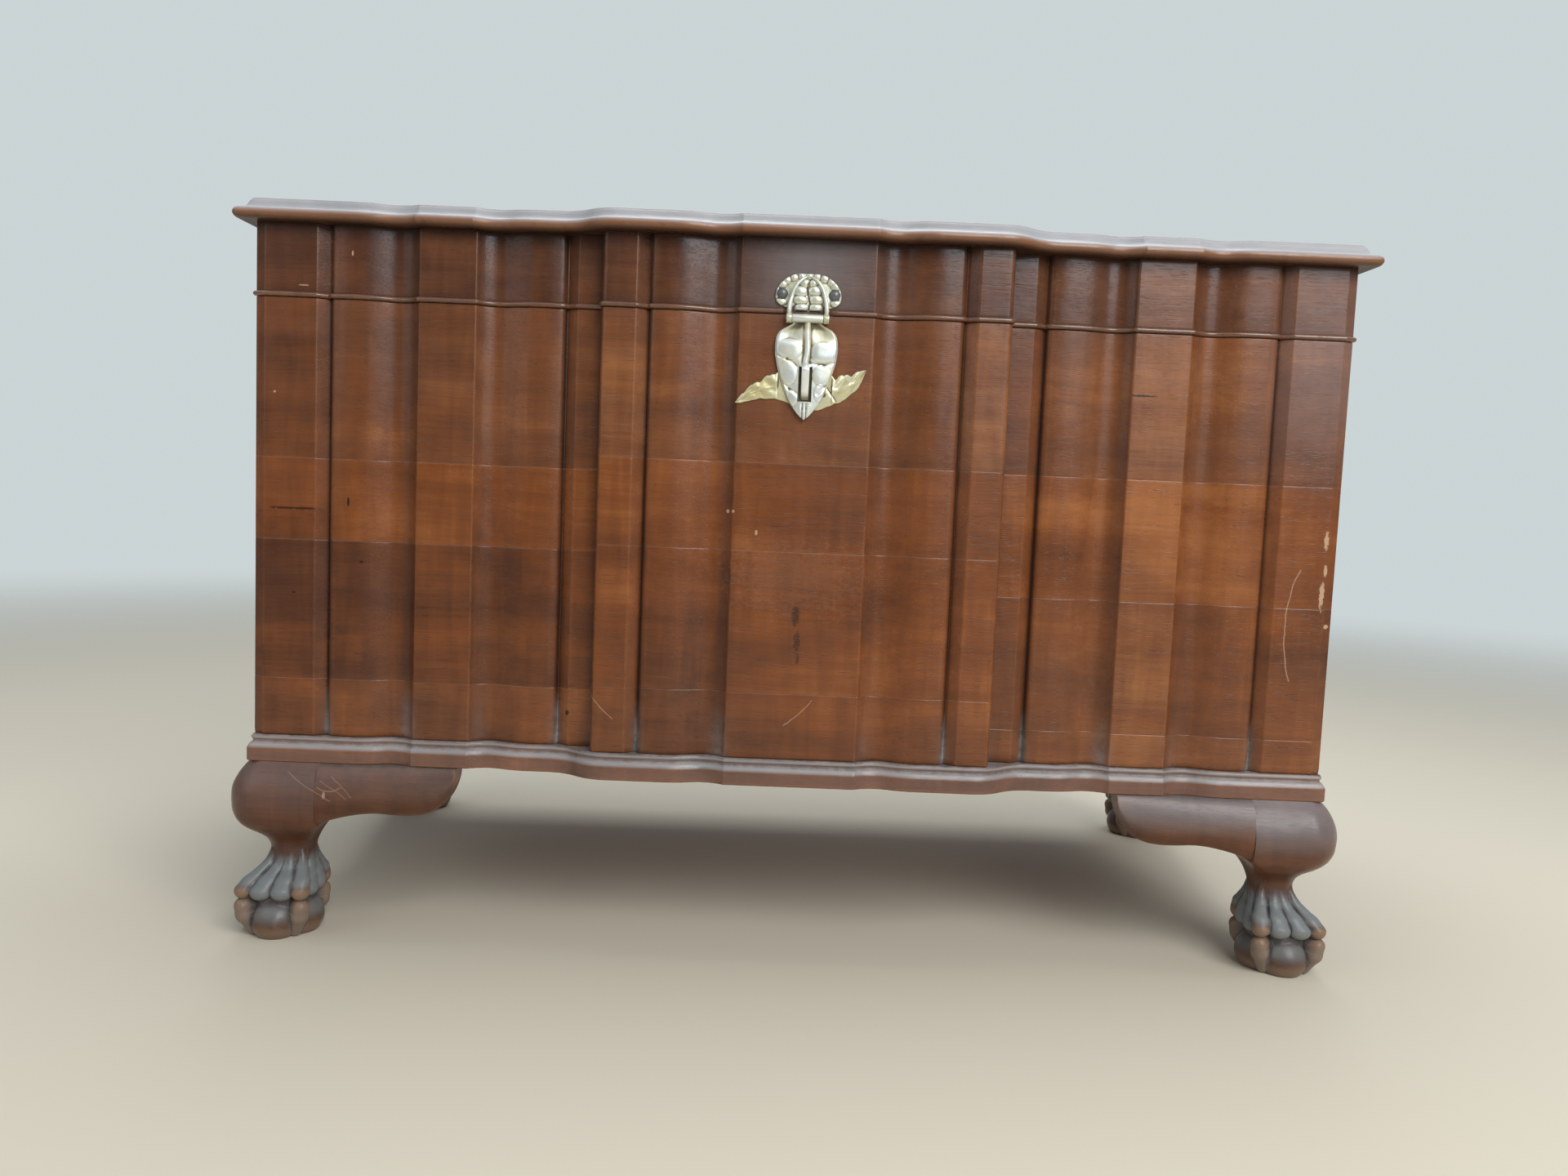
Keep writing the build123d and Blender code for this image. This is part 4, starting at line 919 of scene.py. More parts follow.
def makeFrontPlank():
    path = calmPath(lid["cornerRound"], lid["seams"][0])
    rows = lidEdgeRows()
    edgePoints = swept(path, rows)
    seam = np.stack(
        [path[:, 0] + path[:, 2] * lid["topProjection"], 0 * path[:, 0] + lid["seams"][0]], axis=-1
    )

    def spread(row, share, z):
        flat = edgePoints[:, row, :2] * (1 - share) + seam * share
        return np.concatenate([flat, np.full((len(flat), 1), z)], axis=1)[:, None]

    under = [spread(0, s, chest["skirtTop"]) for s in (1, 0.5)]
    over = [spread(-1, s, chest["lidTop"]) for s in (0.06, 0.3, 0.7, 1)]
    points = np.concatenate(under + [edgePoints] + over + [under[0]], axis=1)
    wearRow, paintedShadeRow, paintedSheenRow = np.zeros((3, points.shape[1]))
    for k, markRow in enumerate((wearRow, paintedShadeRow, paintedSheenRow), start=2):
        markRow[len(under):len(under) + len(rows)] = [row[k] for row in rows]
    shape = points.shape[:2]
    marks = {
        "edge": np.broadcast_to(wearRow, shape), "recess": np.broadcast_to(paintedShadeRow, shape),
        "tone": np.full(shape, -0.1), "warm": np.full(shape, 0.2), "lot": np.full(shape, 1.7),
        "paintedSheen": np.broadcast_to(paintedSheenRow, shape),
    }
    return makePiece(
        "lid_front_plank_moulded", gridMesh(points, marks), "lid", lidWood, ["lid_plank_1"]
    )


def makeRearPlank(k, y0, y1):
    rows = lidEdgeRows()
    right = [(chest["halfWidth"] + out, z, e, r, b) for out, z, e, r, b in rows]
    inner = [chest["halfWidth"] - 12, 260, 0, -260, 12 - chest["halfWidth"]]
    # the underside rows carry painted shade
    ring = (
        [(-x, chest["skirtTop"], 0, 0.2, 0) for x in inner] + right
        + [(x, chest["lidTop"], 0, 0, 0) for x in inner]
    )
    ring += [(-x, z, e, r, b) for x, z, e, r, b in right[::-1]]
    ring.append(ring[0])
    ys = np.array([y0, y0 + 0.3, y0 + 0.9] + list(np.linspace(y0 + 4, y1 - 4, 7)) + [y1 - 0.9, y1 - 0.3, y1])
    x, z, edgeRow, paintedShadeRow, paintedSheenRow = (np.array(column, float) for column in zip(*ring))
    points = carried(x, ys, z)
    drop = 0.25 * (np.exp(-(ys - y0) / 0.3) + np.exp(-(y1 - ys) / 0.3))
    points[..., 2] -= np.where(points[..., 2] > chest["lidTop"] - 0.05, drop[:, None], 0)
    shape = points.shape[:2]
    picker = random.Random(k)
    seam = np.broadcast_to((np.exp(-(ys - y0) / 0.4) + np.exp(-(y1 - ys) / 0.4))[:, None], shape)
    marks = {
        "edge": np.broadcast_to(edgeRow, shape), "recess": np.broadcast_to(paintedShadeRow, shape),
        "tone": np.full(shape, picker.uniform(-0.3, 0.25)), "warm": np.full(shape, picker.uniform(0.1, 0.5)),
        "lot": np.full(shape, picker.uniform(0, 9)), "seam": seam * 0.6,
        "paintedSheen": np.broadcast_to(paintedSheenRow, shape),
    }
    return makePiece(
        f"lid_plank_{k}_moulded", gridMesh(points, marks), "lid", lidWood, [f"lid_plank_{k}"]
    )


makeFrontPlank()
edges = lid["seams"] + (chest["depth"],)
for k in range(len(edges) - 1):
    makeRearPlank(k + 2, edges[k], edges[k + 1])
print("lid ready")

# base moulding; the rows of its profile are (out, z, edge wear, recess as painted shade in the quirk and at
# the top joint, painted sheen on what faces up)
base = {
    "projection": 5.0, "rail": 60.0, "cornerRound": 4.0,
    "profile": (
        (4.3, 180.0, 0.5, 0, 0), (5.0, 180.8, 0.5, 0, 0.1), (5.0, 184, 0.05, 0, 0.16),
        (5.0, 188, 0.05, 0, 0.16), (5.0, 191.6, 0.2, 0, 0.12), (4.95, 192.6, 0.3, 0, 0.12),
        (4.7, 193.6, 0.3, 0, 0.4), (4.3, 194.6, 0.2, 0, 0.8), (3.8, 195.7, 0.1, 0, 1),
        (3.2, 196.8, 0.1, 0, 1), (2.5, 197.7, 0, 0.1, 0.75), (1.8, 198.4, 0, 0.2, 0.35),
        (1.1, 198.9, 0, 0.4, 0.2), (0.7, 199.6, 0, 0.5, 0.15), (0.7, 200.8, 0, 0.5, 0.15),
        (0.9, 201.4, 0, 0.3, 0.25), (1.4, 201.9, 0.1, 0, 0.5), (1.8, 202.7, 0.2, 0, 0.8),
        (1.9, 203.6, 0.2, 0, 0.95), (1.7, 204.4, 0.2, 0, 0.7), (1.2, 205.1, 0, 0.2, 0.2),
        (0.8, 205.6, 0, 0.7, 0), (0.8, 206.0, 0, 0.8, 0),
    ),
}


def railPoints(path, inner):
    rows = base["profile"]
    outer = swept(path, rows)
    back = [
        np.concatenate([inner, np.full((len(inner), 1), z)], axis=1)[:, None]
        for z in (chest["caseBottom"], chest["baseBottom"])
    ]
    points = np.concatenate([outer] + back + [outer[:, :1]], axis=1)
    return points, [np.array([r[k] for r in rows] + [0, 0, rows[0][k]]) for k in (2, 3, 4)]


def makeRail(name, node, path, inner, lot, material):
    points, rows = railPoints(path, inner)
    shape = points.shape[:2]
    marks = {key: np.broadcast_to(row, shape) for key, row in zip(("edge", "recess", "paintedSheen"), rows)}
    marks.update({"tone": np.full(shape, 0.1), "warm": np.full(shape, 0.1), "lot": np.full(shape, lot)})
    return makePiece(name, gridMesh(points, marks), "case", material, [node])


xIn = chest["halfWidth"] + base["projection"] - base["rail"]
yIn = base["rail"] - base["projection"]
frontPath = calmPath(base["cornerRound"], 0, cornerOnly=True)
frontInner = np.stack([np.clip(frontPath[:, 0], -xIn, xIn), 0 * frontPath[:, 0] + yIn], axis=-1)
makeRail("base_front_moulded", "base_front", frontPath, frontInner, 2.2, baseWood)
baseSideWood = makeWood("waxedBaseSideWood", dict(baseLook, turn=(0, 0, math.radians(90))))
r = base["cornerRound"]
sidePath = [
    (chest["halfWidth"] - r + r * math.sin(t), r - r * math.cos(t), 1, -1)
    for t in np.radians((45, 56, 67, 79))
]
sidePath += [(chest["halfWidth"], y, 1, 0) for y in np.linspace(r, chest["depth"], 12)]
sidePath = np.array(sidePath)
sideInner = np.stack(
    [0 * sidePath[:, 0] + xIn, np.clip(sidePath[:, 1], yIn, chest["depth"] - base["rail"])], axis=-1
)
for side, way in (("left", -1), ("right", 1)):
    flip = np.array([way, 1, way, 1])
    makeRail(
        f"base_{side}_moulded", f"base_{side}", sidePath * flip, sideInner * np.array([way, 1]), 4.0 + way,
        baseSideWood,
    )
print("base ready")

# legs
legShape = {
    "turns": 288, "fineStep": 1.05, "coarseStep": 2.6, "footCentre": -22.5, "ballRadius": 30.5,
    "ballHeight": 33.0,
    "outer": (
        (50, 8, 24), (62, -1, 23), (71, -5.5, 22), (80, -7.6, 22), (90, -7.6, 22), (97, -4.3, 23),
        (104, 3, 26), (110, 10.5, 28), (117, 17, 31), (126, 21.5, 34), (138, 23.4, 36), (150, 22.5, 34),
        (162, 18.5, 30), (172, 12, 25), (180, 5, 20),
    ),
    "inner": (
        (50, -53, 24), (58, -51, 23), (70, -51, 22), (80, -51.8, 22), (90, -52.6, 20), (99, -55, 16),
        (109, -61, 10), (118, -70, 4), (180, -70, 2),
    ),
    "sides": ((50, 24), (80, 21), (97, 19), (109, 12), (121, 2), (180, 1.5)),
    "tendon": ((20.0, 84.0, 3.0), (24.5, 70.0, 5.2), (36.5, 55.0, 7.8), (40.4, 48.0, 8.6)),
    "claw": ((41.2, 32.5, 8.0), (39.0, 23.0, 8.2), (29.0, 6.5, 6.6)),
    "petal": (
        (2.4, 18.4, 82.0, 2.4), (4.0, 20.5, 68.0, 5.0), (6.6, 26.0, 56.0, 7.4), (8.0, 30.2, 47.5, 8.8)
    ),
    "petalSpread": 0.78, "dome": (17.0, 15.5, 24.5, 23.5, 23.0), "unevenness": 0.45, "searchStep": 0.8,
    "boxLimit": 24.0, "reflectionPaint": {"left": 0.12, "right": 0.36}, "rubbed": {"front": 1.0, "back": 0.3},
}


def alongRods(places, knots):  # distance to a chain of tapering rods; each knot is (place..., radius)
    best = None
    for start, end in zip(knots[:-1], knots[1:]):
        steps = [q - p for p, q in zip(start, end)]
        offsets = [place - p for place, p in zip(places, start)]
        length = sum(step ** 2 for step in steps[:-1])
        t = np.clip(sum(o * step for o, step in zip(offsets, steps)) / length, 0, 1)
        reach = (
            np.sqrt(sum((o - t * step) ** 2 for o, step in zip(offsets, steps))) - start[-1] - t * steps[-1]
        )
        best = reach if best is None else softMin(best, reach, 2.0)
    return best


def footDistance(radius, angle, z):  # to the whole foot, the domes between its toes, petals and toes
    shape = legShape
    diagonal = np.mod(angle, math.pi / 2) - math.pi / 4
    rho, off = radius * np.cos(diagonal), radius * np.sin(diagonal)
    ball = np.sqrt(radius ** 2 + (z - shape["ballHeight"]) ** 2) - shape["ballRadius"]
    rods = []
    for key in ("tendon", "claw"):
        rods.append(alongRods((rho, 0.95 * off, z), [(r, 0, h, size) for r, h, size in shape[key]]))
    toe = softMin(*rods, 1.0)
    face = np.mod(angle + math.pi / 4, math.pi / 2) - math.pi / 4
    depth, side = radius * np.cos(face), np.abs(radius * np.sin(face))
    petal = alongRods((shape["petalSpread"] * side, depth, z), shape["petal"])
    out, high, wide, deep, tall = shape["dome"]
    dome = (np.sqrt((side / wide) ** 2 + ((depth - out) / deep) ** 2 + ((z - high) / tall) ** 2) - 1) * wide
    return softMin(softMin(softMin(ball, dome, 0.6), petal, 0.6), toe, 1.0), dome, petal, toe


# radius of a rounded square; rounds are outer, inner and side corner radii
def squareReach(angle, half, rounds):
    c, s = np.cos(angle), np.sin(angle)
    outer, inner, side = rounds
    r = np.where((c > 0) & (s > 0), outer, np.where((c < 0) & (s < 0), inner, side))
    t = half / np.maximum(np.abs(c), np.abs(s))
    core = half - r
    b = core * (np.abs(c) + np.abs(s))
    corner = b + np.sqrt(np.maximum(b ** 2 - (2 * core ** 2 - r ** 2), 0))
    return np.where(np.minimum(np.abs(c), np.abs(s)) * t > core, np.minimum(t, corner), t)


def blurred(field, times):
    for k in range(times):
        field = (np.roll(field, 1, 0) + np.roll(field, -1, 0) + 2 * field) / 4
        padded = np.concatenate([field[:, :1], field, field[:, -1:]], axis=1)
        field = (padded[:, :-2] + padded[:, 2:] + 2 * field) / 4
    return field


def legSurface():
    shape = legShape
    fine = np.arange(1.4, 97, shape["fineStep"])
    coarse = np.arange(98, 178, shape["coarseStep"])
    zs = np.concatenate([[0, 0.5], fine, coarse, [178, 179.3, 180]])
    angles = np.linspace(0, 2 * math.pi, shape["turns"], endpoint=False)
    angle, z = np.meshgrid(angles, zs, indexing="ij")
    outer, outerRound = (curveThrough(z, [(k[0], k[n]) for k in shape["outer"]]) for n in (1, 2))
    inner, innerRound = (curveThrough(z, [(k[0], k[n]) for k in shape["inner"]]) for n in (1, 2))
    inner = np.where(z > 118, -70, inner)
    sideRound = curveThrough(z, shape["sides"])
    centre = np.where(z < 50, shape["footCentre"], (outer + inner) / 2)
    half = (outer - inner) / 2
    rounds = (outerRound, np.maximum(innerRound, 0.5), np.maximum(sideRound, 0.5))
    upper = np.where(z < 50, 5, squareReach(angle, half, rounds))
    upper = np.where((z >= 50) & (z < 60), upper - (60 - z) * 1.2, upper)
    steps = np.arange(4, 76, shape["searchStep"])
    inside = np.stack([footDistance(t, angle, z)[0] for t in steps])
    last = np.where(inside < 0, np.arange(len(steps))[:, None, None], -1).max(axis=0)
    pick = np.clip(last, 0, len(steps) - 2)
    near = np.take_along_axis(inside, pick[None], 0)[0]
    far = np.take_along_axis(inside, pick[None] + 1, 0)[0]
    foot = steps[pick] + shape["searchStep"] * near / (near - far + 1e-9)
    foot = np.where(last < 0, 3.0, foot)
    radius = np.where(z > 97, upper, softMax(upper, foot, 3.0))
    away = radius - blurred(radius, 14)
    return angle, z, centre, radius, away, footDistance(radius, angle, z)[1:]


legAngle, legZ, legCentre, legRadius, legAway, legParts = legSurface()


def closedRing(grid):
    return np.concatenate([grid, grid[:1]], axis=0)


def makeLeg(side, row, seed):
    wayX = 1 if side == "right" else -1
    nearDome, nearPetal, nearToe = (np.clip(1 - np.abs(d) / 2.5, 0, 1) for d in legParts)
    u = legCentre + legRadius * np.cos(legAngle)
    w = legCentre + legRadius * np.sin(legAngle)
    sample = np.stack([u + seed * 40, w, legZ], axis=-1)
    swell = legShape["unevenness"] * smoothStep(legZ, 2, 8) * (1 - smoothStep(legZ, 165, 178))
    radius = legRadius + swell * (rippleGrid(sample, 13) + 0.8 * rippleGrid(sample, 31))
    x = wayX * (chest["halfWidth"] + legCentre + radius * np.cos(legAngle))
    out = legCentre + radius * np.sin(legAngle)
    y = -out if row == "front" else chest["depth"] + out
    limit = legShape["boxLimit"]
    x = np.clip(x, -chest["halfWidth"] - limit, chest["halfWidth"] + limit)
    y = np.clip(y, -limit, chest["depth"] + limit)
    points = np.stack([x, y, legZ], axis=-1)
    foot = 1 - smoothStep(legZ, 68, 88)
    carved = 1 - smoothStep(legZ, 84, 96)
    # blue-grey tint on petals, toes and domes: worn dark finish and painted sheen
    silverAndSheen = nearPetal * (0.35 + 0.65 * smoothStep(legZ, 36, 44)) + nearToe * smoothStep(legZ, 50, 56) * 0.7
    silverAndSheen = silverAndSheen + 0.7 * nearDome * smoothStep(legZ, 12, 26)
    silverAndSheen = silverAndSheen + 0.25 * nearToe * (1 - smoothStep(legZ, 28, 38))
    silverAndSheen = silverAndSheen + 0.3 * smoothStep(legZ, 50, 60)
    rubbed = legShape["rubbed"][row]  # feet at the back are touched less
    bare = nearToe * (1 - smoothStep(legZ, 49, 55)) + 0.85 * nearDome * (1 - smoothStep(legZ, 6, 20))
    kneeWear = 0.18 * bump(legZ, 112, 14)
    marks = {
        "edge": np.clip(legAway / 1.1, 0, 1) * 0.7 * foot + kneeWear,
        # dirt and painted shade in the carving's hollows
        "recess": np.clip(-legAway / 1.1, 0, 1) * carved,
        "silverAndSheen": np.clip(silverAndSheen, 0, 1) * rubbed * foot * (1 - np.clip(-legAway / 0.9, 0, 1)),
        "bare": np.clip(bare, 0, 1) * foot * (1 - np.clip(-legAway / 1.0, 0, 1)),
        "tone": -0.5 * foot - 0.05 * (1 - foot),
        "warm": 0.3 * (1 - foot),
        # painted sheen on the knee, stronger on the right leg
        "paintedSheen": legShape["reflectionPaint"][side] * smoothStep(legZ, 118, 162),
        "lot": 0 * legZ + seed,
    }
    bm = gridMesh(closedRing(points), {key: closedRing(value) for key, value in marks.items()})
    return makePiece(
        f"carved_leg_{row}_{side}", bm, "case", legWood, [f"leg_{row}_{side}"], sharp=60
    )


seed = 1
for row in ("front", "back"):
    for side in ("left", "right"):
        makeLeg(side, row, seed)
        seed += 1
print("legs ready")

# ears beside the knees
earShape = {
    "lower": (
        (329.5, 179.5), (330.1, 173), (331.7, 165), (335.3, 155), (341.5, 144.8), (350, 137), (360.5, 132.4),
        (374, 130.6), (390, 130.8), (408, 132.2), (422, 131.4), (436, 129.0), (452, 125.0), (465, 121.0),
    ),
    "crown": ((329.5, 7.0), (352, 11.5), (400, 17.2), (465, 22.4)), "back": 16.0, "tuck": 9.0,
    "reflectionPaint": {"left": 0.12, "right": 0.40}, "sideReflectionPaint": 0.3,
}


def earPoints():
    start, end = earShape["lower"][-1][0], earShape["lower"][0][0]
    xs = end + (start - end) * np.concatenate([np.linspace(0, 0.12, 14), np.linspace(0.14, 1, 44)])
    low = curveThrough(xs, earShape["lower"])
    crown = curveThrough(xs, earShape["crown"])
    rim = np.interp(xs, (end, start), (0.5, 5.0))
    top = chest["baseBottom"]
    rows = []
    tall = top - low
    mid = low + tall * 0.36
    tuck = np.minimum(earShape["tuck"], tall * 0.3)
    for t in np.radians(np.linspace(0, 90, 12)):
        rows.append((rim + (crown - rim) * np.sin(t) ** 0.9, mid + (top - mid) * np.cos(t), 0.1))
    for t in np.radians(np.linspace(12, 90, 8)):
        rows.append((crown - tuck * (1 - np.cos(t)), mid - (mid - low) * np.sin(t), 0.55 * math.sin(t) ** 6))
    rows.append((crown - tuck - 5, low, 0.2))
    rows.append((0 * xs - earShape["back"], low, 0.1))
    rows.append((0 * xs - earShape["back"], 0 * xs + top, 0.0))
    rows.append(rows[0])
    points = np.stack([np.stack([xs, -out, z], axis=-1) for out, z, wear in rows], axis=1)
    wornRow = np.array([wear for out, z, wear in rows])
    edge = np.clip(wornRow + 0.8 * bump(points[..., 0], end, 3.5), 0, 1)
    return points, edge


def makeEar(name, node, place, way, lot, reflectionPaint):
    points, edge = earPoints()
    points[..., 1] += 0.35 * rippleGrid(points, 26, lot * 11) * (points[..., 1] < 10)
    shape = points.shape[:2]
    marks = {
        "edge": edge, "tone": np.full(shape, -0.04), "warm": np.full(shape, 0.3), "lot": np.full(shape, lot),
        # painted shadow of the base along the top; painted sheen on the face below
        "bare": edge * 0.4, "recess": 0.5 * smoothStep(points[..., 2], 176, 180),
        "paintedSheen": reflectionPaint * smoothStep(points[..., 2], 138, 170),
    }
    return makePiece(name, gridMesh(place(points, way), marks), "case", earWood, [node])


def besideFront(points, way):  # turned onto the side, beside the front leg
    run = chest["halfWidth"] - points[..., 0]
    return np.stack([way * (chest["halfWidth"] - points[..., 1]), run, points[..., 2]], axis=-1)


def besideBack(points, way):  # the same, beside the back leg
    run = chest["halfWidth"] - points[..., 0]
    y = chest["depth"] - run
    return np.stack([way * (chest["halfWidth"] - points[..., 1]), y, points[..., 2]], axis=-1)


def acrossFront(points, way):
    return points * np.array([way, 1, 1])


for side, way in (("left", -1), ("right", 1)):
    reflectionPaint, sideReflectionPaint = earShape["reflectionPaint"][side], earShape["sideReflectionPaint"]
    makeEar(f"front_ear_{side}", f"ear_front_{side}", acrossFront, way, 1.3 + way, reflectionPaint)
    makeEar(f"side_front_ear_{side}", f"ear_side_front_{side}", besideFront, way, 4.3 + way, sideReflectionPaint)
    makeEar(f"side_back_ear_{side}", f"ear_side_back_{side}", besideBack, way, 7.3 + way, sideReflectionPaint)
print("ears ready")

# hasp
hasp = {
    "face": -24.0, "pinY": -30.0, "pinZ": 632.0, "barrel": 4.0, "flapBack": -26.6, "flapFront": -28.6,
    "tip": 537.0, "slotTop": 587.0, "slotBottom": 554.0, "slotHalf": 6.2, "knuckleHalf": 14.7,
    "lugInner": 15.0, "lugOuter": 20.3, "plateLow": 639.3, "plateHigh": 675.0, "plateThick": 2.4,
    "rim": (1.3, 1.2),
    "flapWidth": (
        (537, 0.5), (540, 4.2), (546, 9.5), (554, 15), (565, 19.6), (577, 24.2), (590, 28), (602, 29.9),
        (611, 29.4), (617, 27.6), (621.5, 24), (624.5, 18.6), (626.5, 15.2), (632, 14.6),
    ),
    "plateWidth": (
        (639.3, 13.5), (641.2, 14.3), (642.2, 19), (643.6, 25), (646, 29.4), (650, 31.8), (655, 31.9),
        (660, 30.6), (665, 27.3), (669, 22.6), (672, 17.6), (674, 11.5), (675, 6),
    ),
    "grapes": (
        (-7.4, 657.5, 7.0, 5.6), (6.6, 658.5, 6.4, 5.4), (-8.0, 649.5, 7.2, 4.8), (7.4, 650.0, 6.8, 5.2),
        (-6.6, 642.6, 6.8, 4.2), (7.0, 642.8, 6.8, 4.4), (-3.6, 665.0, 4.8, 4.6), (4.4, 665.6, 4.2, 4.4),
    ),
    "pearls": (
        (-21.0, 667.6, 4.4), (-14.0, 670.2, 4.0), (-6.8, 671.6, 3.8), (0.4, 672.0, 3.8), (7.6, 671.4, 3.8),
        (14.6, 669.8, 4.2), (21.6, 667.0, 4.6),
    ),
    "leaves": (
        (-25.2, 664.0, 5.2, 4.2), (-30.0, 656.0, 3.0, 6.0), (-26.0, 647.5, 6.0, 3.6),
        (25.6, 663.4, 5.4, 4.2), (30.2, 655.4, 3.0, 6.0), (26.4, 647.3, 6.0, 3.6),
    ),
    "creases": (
        ((-29, 598), (-18, 594), 1.3), ((-18, 594), (-8, 587.5), 1.3), ((4, 591), (17, 589), 1.2),
        ((17, 589), (28, 592.5), 1.2), ((-22, 573), (-15, 566), 1.5), ((-15, 566), (-9, 562.5), 1.5),
        ((20, 570), (12, 562), 1.4),
    ),
    "lumps": (
        (-16.5, 581, 8, 12), (15.5, 579.5, 9, 10), (14.0, 563, 6, 8), (-12.5, 557, 5.5, 8),
        (-16, 603, 12, 10), (16, 601, 12, 10),
    ),
    "stem": ((1.2, -28.2, 671.5), (7.0, -29.4, 668.0), (12.6, -30.0, 661), (15.8, -30.0, 652)),
    "stemFoot": ((-30.6, 643), (-30.6, 634)), "stemRadii": (1.0, 1.3, 1.5, 1.7, 2.2, 2.6), "lugRadius": 4.6,
}


def reliefMarks(relief, times=5, gain=0.35):
    away = relief - blurredFlat(relief, times)
    return np.clip(away / gain, 0, 1), np.clip(-away / gain, 0, 1)


def blurredFlat(field, times):
    for k in range(times):
        for axis in (0, 1):
            padded = np.concatenate([np.take(field, [0], axis), field, np.take(field, [-1], axis)], axis=axis)
            n = field.shape[axis]
            field = (np.take(padded, range(n), axis) + np.take(padded, range(2, n + 2), axis) + 2 * field) / 4
    return field


def lineDistance(x, z, a, b):
    dx, dz = b[0] - a[0], b[1] - a[1]
    t = np.clip(((x - a[0]) * dx + (z - a[1]) * dz) / (dx * dx + dz * dz), 0, 1)
    return np.hypot(x - a[0] - t * dx, z - a[1] - t * dz)


def dome(x, z, cx, cz, rx, rz, height):
    return height * np.sqrt(np.clip(1 - ((x - cx) / rx) ** 2 - ((z - cz) / rz) ** 2, 0, 1))


def roundBar(start, end, radius, sides=18):  # a bar with eased ends, along X
    length = (end - start) * mm
    spin = Matrix.Rotation(math.radians(90), 4, "Y")
    middle = Matrix.Translation(
        ((start + end) / 2 * mm, (hasp["pinY"] + chest["faceY"]) * mm, hasp["pinZ"] * mm)
    )
    bm = bmesh.new()
    bmesh.ops.create_cone(
        bm, cap_ends=True, segments=sides * 2, radius1=radius * mm, radius2=radius * mm, depth=length,
        matrix=middle @ spin,
    )
    rims = [e for e in bm.edges if e.calc_face_angle(0) > 1]
    bmesh.ops.bevel(bm, geom=rims, offset=0.5 * mm, segments=3, profile=0.5, affect="EDGES", material=-1)
    return bm


def joined(bm, others):
    for other in others:
        mesh = bpy.data.meshes.new("part")
        other.to_mesh(mesh)
        other.free()
        bm.from_mesh(mesh)
        bpy.data.meshes.remove(mesh)
    return bm


def makeFlap():
    levels = np.linspace(hasp["tip"], hasp["pinZ"] - 1, 150)
    zs = np.unique(np.concatenate([levels, [hasp["slotTop"], hasp["slotBottom"]]]))
    inner = np.linspace(-1, 1, 15)
    outer = np.linspace(0, 1, 44)[1:] ** 0.9
    half = curveThrough(zs, hasp["flapWidth"])
    core = np.minimum(hasp["slotHalf"], half * 0.5)
    beside = core[:, None] + (half - core)[:, None] * outer
    x = np.concatenate([-beside[:, ::-1], core[:, None] * inner, beside], axis=1)
    z = np.broadcast_to(zs[:, None], x.shape)
    s = np.abs(x) / half[:, None]
    bend = 1.5 * smoothStep(z, 590, 628) + 0.9 * np.sin((z - 590) / 6.5) * smoothStep(z, 592, 600)
    rib = smoothStep(z, 585, 590)
    belly = 1.5 * (1 - s ** 2.4)
    upper = smoothStep(z, 589, 593 + 0.15 * np.abs(x))
    shoulder = smoothStep(z, 606, 620) * smoothStep(s, 0.05, 0.5) * (1 - smoothStep(s, 0.55, 1.0)) * 1.4
    relief = belly + 0.6 * upper * (1 - smoothStep(z, 608, 614)) * smoothStep(s, 0.1, 0.4) - 1.7 * shoulder
    ribWalls = 0.35 * np.exp(-((np.abs(x - bend) - 4.0) / 1.1) ** 2)
    relief = relief + rib * (1.7 * np.exp(-((x - bend) / 1.8) ** 2) - ribWalls)
    for start, end, deep in hasp["creases"]:
        relief = relief - 0.62 * deep * np.exp(-(lineDistance(x, z, start, end) / 1.5) ** 2)
    relief = blurredFlat(relief, 2)
    relief = relief + sum(dome(x, z, *lump, 0.8) for lump in hasp["lumps"])
    relief = relief - 1.0 * np.exp(-((np.abs(x) - 1.9) / 0.65) ** 2) * (1 - smoothStep(z, 551, 554))
    relief = relief * (1 - smoothStep(s, 0.94, 1.0)) + 0.16 * rippleField(x, z, 9)
    y = hasp["flapFront"] - relief + 1.4 * smoothStep(s, 0.93, 1.0)
    edge, recess = reliefMarks(relief, 4, 0.2)
    slotWall = bump(np.abs(x), hasp["slotHalf"], 0.7)
    slotWall = slotWall * smoothStep(z, 553, 554) * (1 - smoothStep(z, 587, 588))
    shade = 0.42 * np.clip(shoulder, 0, 1) + 0.42 * smoothStep(z, 619, 624) + 0.9 * slotWall
    marks = {"edge": 0.5 * edge, "recess": np.clip(recess + shade, 0, 1)}
    bm = gridMesh(np.stack([x, y, z], axis=-1), marks)
    holes = []
    for f in bm.faces:
        c = f.calc_center_median() / mm
        if abs(c.x) < hasp["slotHalf"] - 0.05 and hasp["slotBottom"] < c.z < hasp["slotTop"]:
            holes.append(f)
    bmesh.ops.delete(bm, geom=holes, context="FACES")
    backed(bm, hasp["flapBack"])
    joined(bm, [roundBar(-hasp["knuckleHalf"], hasp["knuckleHalf"], hasp["barrel"] - 0.05)])
    return makePiece("hasp_leaf_flap", bm, "hasp_flap", castBrass, ["hasp_flap"], sharp=55)


def rippleField(x, z, wave):
    return rippleGrid(np.stack([x, 0 * x, z], axis=-1), wave)


